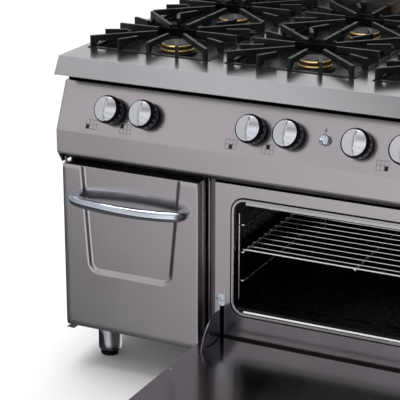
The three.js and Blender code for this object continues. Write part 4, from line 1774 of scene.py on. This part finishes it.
@dataclass
class DoorPan:
    """A folded door sheet with round edges and a pressed field."""

    name: str
    x: tuple[float, float]
    z: tuple[float, float]
    front: float
    back: float
    emboss: Emboss
    flange: float = 22.0
    edge: float = 3.2
    corner: float = 5.0
    thickness: float = 1.2
    fine: float = 1.8
    coarse: float = 14.0
    margin: float = 4.0
    border: float = 7.0
    inner: float = 18.0

    def stations(self, low: float, high: float, bands: Sequence[tuple[float, float]]) -> list[float]:
        """Spaces the grid's lines, close together inside the bands.

        Args:
            low: the first line.
            high: the last line.
            bands: where the pressed field's slopes are.

        Returns:
            The lines' positions.
        """
        marks = [low]
        while marks[-1] < high:
            here = marks[-1]
            near = any(a - self.fine <= here < b for a, b in bands)
            ahead = [a for a, _ in bands if a > here]
            step = self.fine if near else min([self.coarse, *(a - here for a in ahead)])
            marks.append(min(high, here + max(step, 0.8)))
        return marks

    def grid(self) -> list[list[Vector]]:
        """Lays out the front face, with columns that follow the field's slanted sides.

        Returns:
            The face's points in rows, from the foot up.
        """
        e = self.emboss
        low_x, high_x = self.x[0] + self.edge, self.x[1] - self.edge
        low_z, high_z = self.z[0] + self.edge, self.z[1] - self.edge
        out, within = self.margin, e.corner + e.wall + self.margin
        rows = self.stations(low_z, high_z, [(e.foot - out, e.foot + within)])
        bands = [(e.foot_left - out, e.foot_left + within), (e.foot_right - within, e.foot_right + out)]
        columns = self.stations(low_x, high_x, bands)
        points = []
        for z in rows:
            left, right = e.edges(max(z, e.foot))
            row = [self.warped(x, left, right, low_x, high_x) for x in columns]
            points.append([Vector((x, self.front + e.depth(x, z), z)) for x in row])
        return points

    def warped(self, x: float, left: float, right: float, low: float, high: float) -> float:
        """Moves a column so that it follows the field's sides.

        Args:
            x: the column's place at the field's foot.
            left: the field's left side at this height.
            right: its right side at this height.
            low: the face's left edge.
            high: its right edge.

        Returns:
            The column's place at this height.
        """
        e = self.emboss
        keep_left = e.foot_left + e.corner + self.inner
        keep_right = e.foot_right - e.corner - self.inner
        near_left, near_right = e.foot_left - self.border, e.foot_right + self.border
        shift_left, shift_right = left - e.foot_left, right - e.foot_right
        knots = (
            (low, low), (near_left, near_left + shift_left), (keep_left, keep_left + shift_left),
            (keep_right, keep_right + shift_right), (near_right, near_right + shift_right), (high, high),
        )
        for (a, at_a), (b, at_b) in zip(knots, knots[1:]):
            if x <= b + 1e-6:
                return at_a + (at_b - at_a) * (x - a) / max(b - a, 1e-6)
        return high

    def rim(self, rows: list[list[GridPoint]]) -> list[GridPoint]:
        """Walks round the edge of the grid.

        Args:
            rows: the grid's points or vertices.

        Returns:
            The edge as one loop, anticlockwise from the lower left.
        """
        right = [row[-1] for row in rows[1:-1]]
        left = [row[0] for row in reversed(rows[1:-1])]
        return [*rows[0], *right, *reversed(rows[-1]), *left]

    def offset(self, p: Vector, out: float, back: float) -> Vector:
        """Moves a rim point round the door's folded edge.

        Args:
            p: the rim point.
            out: how far it moves towards the door's edge.
            back: how far behind the front it lands.

        Returns:
            The moved point.
        """
        cx = min(max(p.x, self.x[0] + self.corner), self.x[1] - self.corner)
        cz = min(max(p.z, self.z[0] + self.corner), self.z[1] - self.corner)
        away = Vector((p.x - cx, 0.0, p.z - cz))
        reach = self.corner - self.edge + out
        if abs(away.x) > 1e-6 and abs(away.z) > 1e-6:
            return Vector((cx, self.front + back, cz)) + away.normalized() * reach
        grown = Vector((p.x, self.front + back, p.z))
        if abs(away.x) > 1e-6:
            grown.x = cx + math.copysign(reach, away.x)
        if abs(away.z) > 1e-6:
            grown.z = cz + math.copysign(reach, away.z)
        return grown

    def build(self, flange: bool = True) -> bpy.types.Mesh:
        """Folds the door sheet and gives it its thickness.

        Args:
            flange: whether the back edge is folded inwards.

        Returns:
            The mesh with the door shut.
        """
        points = self.grid()
        shape = Shape()
        grid = [shape.loop(row) for row in points]
        for lower, upper in zip(grid, grid[1:]):
            shape.bridge(lower, upper, closed=False)
        rim_points = self.rim(points)
        ring = self.rim(grid)
        e, deep = self.edge, self.back - self.front
        turn = [math.pi / 2 * i / 5 for i in range(1, 6)]
        steps = [(e * math.sin(a), e * (1 - math.cos(a))) for a in turn]
        steps += [(e, deep - e)]
        steps += [(e * math.cos(a), deep - e + e * math.sin(a)) for a in turn] if flange else [(e, deep)]
        for out, back in steps:
            following = shape.loop(self.offset(p, out, back) for p in rim_points)
            shape.bridge(ring, following)
            ring = following
        if flange:
            inner = shape.loop(self.lip(p, deep) for p in rim_points)
            shape.bridge(ring, inner)
        self.thicken(shape)
        for vert in shape.mesh.verts:
            vert.co = spot(*vert.co)
        return shape.done(self.name)

    def lip(self, p: Vector, deep: float) -> Vector:
        """Finds the folded lip's inner edge.

        Args:
            p: the rim point beside it.
            deep: how far the lip lies behind the front.

        Returns:
            The lip's point.
        """
        x = min(max(p.x, self.x[0] + self.flange), self.x[1] - self.flange)
        z = min(max(p.z, self.z[0] + self.flange), self.z[1] - self.flange)
        return Vector((x, self.front + deep, z))

    def thicken(self, shape: Shape) -> None:
        """Gives the sheet its thickness, inwards.

        Args:
            shape: the sheet.
        """
        bmesh.ops.remove_doubles(shape.mesh, verts=shape.mesh.verts, dist=0.02)
        bmesh.ops.recalc_face_normals(shape.mesh, faces=shape.mesh.faces)
        front = min(shape.mesh.faces, key=lambda f: f.calc_center_median().y)
        if front.normal.y > 0:
            bmesh.ops.reverse_faces(shape.mesh, faces=shape.mesh.faces)
        bmesh.ops.solidify(shape.mesh, geom=shape.mesh.faces[:], thickness=self.thickness)


@dataclass
class Bow:
    """A bowed tube handle whose ends run into the door."""

    name: str
    x: tuple[float, float]
    door_front: float
    z: float = 489.0
    radius: float = 15.0
    reach: float = 50.0

    def mesh(self) -> bpy.types.Mesh:
        """Bends the handle, with the door shut.

        Returns:
            The handle.
        """
        middle, half = (self.x[0] + self.x[1]) / 2, (self.x[1] - self.x[0]) / 2
        stations = (
            (-1.0, -4.0), (-0.997, 6.0), (-0.975, 17.0), (-0.9, 27.0), (-0.72, 37.0),
            (-0.5, self.reach - 6.6), (-0.25, self.reach - 1.6), (0.0, self.reach),
        )
        row = [*stations, *((-a, r) for a, r in reversed(stations[:-1]))]
        points = [spot(middle + across * half, self.door_front - out, self.z) for across, out in row]
        path = smooth_path(points, 8)
        count = len(path) - 1
        shape = Shape()
        rings = tube(path, [self.radius * MM * self.swell(i / count) for i in range(count + 1)], 32)
        limit = OVEN_FRONT + (self.door_front - 0.2) * MM
        shape.loft([[Vector((p.x, min(p.y, limit), p.z)) for p in ring] for ring in rings])
        return shape.done(self.name)

    def swell(self, t: float) -> float:
        """The tube's thickness along it: full in the middle and slightly slimmer at the ends."""
        return 1.0 - 0.10 * abs(2 * t - 1) ** 4


@dataclass
class CupboardDoor:
    """The left door with its handle and hinge pins."""

    x: tuple[float, float] = (-598.0, -196.0)
    z: tuple[float, float] = (116.0, 578.5)
    front: float = -48.0
    back: float = -3.0

    def build(self) -> None:
        """Builds the door."""
        emboss = Emboss(-545.5, -524.0, -246.0, -275.0, 578.5, 279.0)
        pan = DoorPan("cupboard_door_pan", self.x, self.z, self.front, self.back, emboss)
        piece("cupboard_door_pan", pan.build(), UPRIGHT_STEEL, "cupboard_door", ["cupboard_door"])
        bow = Bow("cupboard_bow", (self.x[0] + HANDLE_INSET, self.x[1] - HANDLE_INSET), self.front)
        piece("cupboard_bow", bow.mesh(), CHROME, "cupboard_door", ["cupboard_handle"])
        for end in ("upper", "lower"):
            node = f"cupboard_hinge_{end}"
            piece(f"cupboard_pin_{end}", softened(node, 0.4), DARK_STEEL, "range", [node])


@dataclass
class OvenDoor:
    """The drop-down oven door, built shut and laid open."""

    x: tuple[float, float] = (-188.5, 598.5)
    z: tuple[float, float] = (116.0, 578.5)
    front: float = -48.0
    back: float = -10.3
    hinge: tuple[float, float] = (-27.0, 128.0)
    middle: float = OVEN_MIDDLE
    hinge_offset: float = HINGE_OFFSET
    liner_flat: float = -7.0
    screw_columns: tuple[float, ...] = (-175.0, 15.0, 395.0, 585.0)
    screw_rows: tuple[float, ...] = (130.0, 562.0)
    screw_middle: float = 345.0
    rivet_radius: float = 80.0
    rivet_angles: tuple[float, ...] = (22.0, 48.0, 74.0)

    def opened(self) -> Matrix:
        """Turns the shut door down about its hinge."""
        pivot = spot(0.0, *self.hinge)
        return Matrix.Translation(pivot) @ Matrix.Rotation(math.pi / 2, 4, "X") @ Matrix.Translation(-pivot)

    def shell(self) -> None:
        """The outer sheet with its pressed field, and the handle."""
        emboss = Emboss(-136.0, -114.0, 546.0, 524.0, 578.5, 279.0)
        pan = DoorPan("oven_door_pan", self.x, self.z, self.front, self.back, emboss)
        mesh = pan.build(flange=False)
        mesh.transform(self.opened())
        piece("oven_door_pan", mesh, UPRIGHT_STEEL, "oven_door", ["oven_door_shell"])
        bow = Bow("oven_bow", (self.x[0] + HANDLE_INSET, self.x[1] - HANDLE_INSET), self.front)
        mesh = bow.mesh()
        mesh.transform(self.opened())
        piece("oven_bow", mesh, CHROME, "oven_door", ["oven_door_handle"])

    def liner(self) -> None:
        """The inner sheet with its raised field, and the screws that hold it."""
        inner = softened("oven_door_liner", 1.6, 4)
        piece("oven_door_inner", inner, LINER_STEEL, "oven_door", ["oven_door_liner"])
        spots = [(x, z) for x in self.screw_columns for z in self.screw_rows]
        spots += [(x, self.screw_middle) for x in (self.screw_columns[0], self.screw_columns[-1])]
        places = [(self.opened() @ spot(x, self.liner_flat, z), UPWARD) for x, z in spots]
        REPEATS.spread("liner_screws", screw_model(4.2), places, CHROME, "oven_door")

    def arms(self) -> None:
        """The quadrant arms and their rivets."""
        for side, sign in (("left", -1), ("right", 1)):
            node = f"oven_hinge_{side}"
            piece(f"{node}_arm", softened(node, 0.6), ARM_STEEL, "oven_door", [node])
            x = self.middle + sign * self.hinge_offset
            places = []
            for face in (-1, 1):
                turn = Euler((0.0, face * math.pi / 2, 0.0))
                for angle in (math.radians(a) for a in self.rivet_angles):
                    out, up = self.rivet_radius * math.cos(angle), self.rivet_radius * math.sin(angle)
                    shut = spot(x + face * 1.9, self.hinge[0] + out, self.hinge[1] + up)
                    places.append((self.opened() @ shut, turn))
            REPEATS.spread(f"{node}_rivets", screw_model(3.6, 1.2), places, CHROME, "oven_door")

    def build(self) -> None:
        """Builds the door."""
        self.shell()
        self.liner()
        self.arms()


def sub_assemblies() -> list[tuple[str, Callable[[], None]]]:
    """Lists the range's sub-assemblies in the order in which they are built.

    Returns:
        Each one's name and builder.
    """
    panel = ControlPanel()
    knobs = [(f"knob_burner_{i}", x) for i, x in enumerate(panel.knob_spots, start=1)]
    knobs.append(("knob_oven", panel.thermostat))
    return [
        ("carcass", Carcass().build),
        ("legs", Legs().build),
        ("control panel", panel.build),
        *((body, Knob(panel, x, body).build) for body, x in knobs),
        ("gas line", GasLine(panel).build),
        ("hob", Hob().build),
        *((f"burner {i}", Burner(i).build) for i in range(1, 7)),
        ("oven body", OvenBody().build),
        ("shelving", Shelving().build),
        ("cupboard door", CupboardDoor().build),
        ("oven door", OvenDoor().build),
    ]


def main() -> None:
    """Builds the studio and the range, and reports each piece."""
    logging.basicConfig(level=logging.INFO, format="%(message)s")
    Studio().build()
    for name, build in sub_assemblies():
        before = set(bpy.data.objects.keys())
        build()
        for made in sorted(set(bpy.data.objects.keys()) - before):
            LOG.info("%s: %s", name, made)


if __name__ == "__main__":
    main()
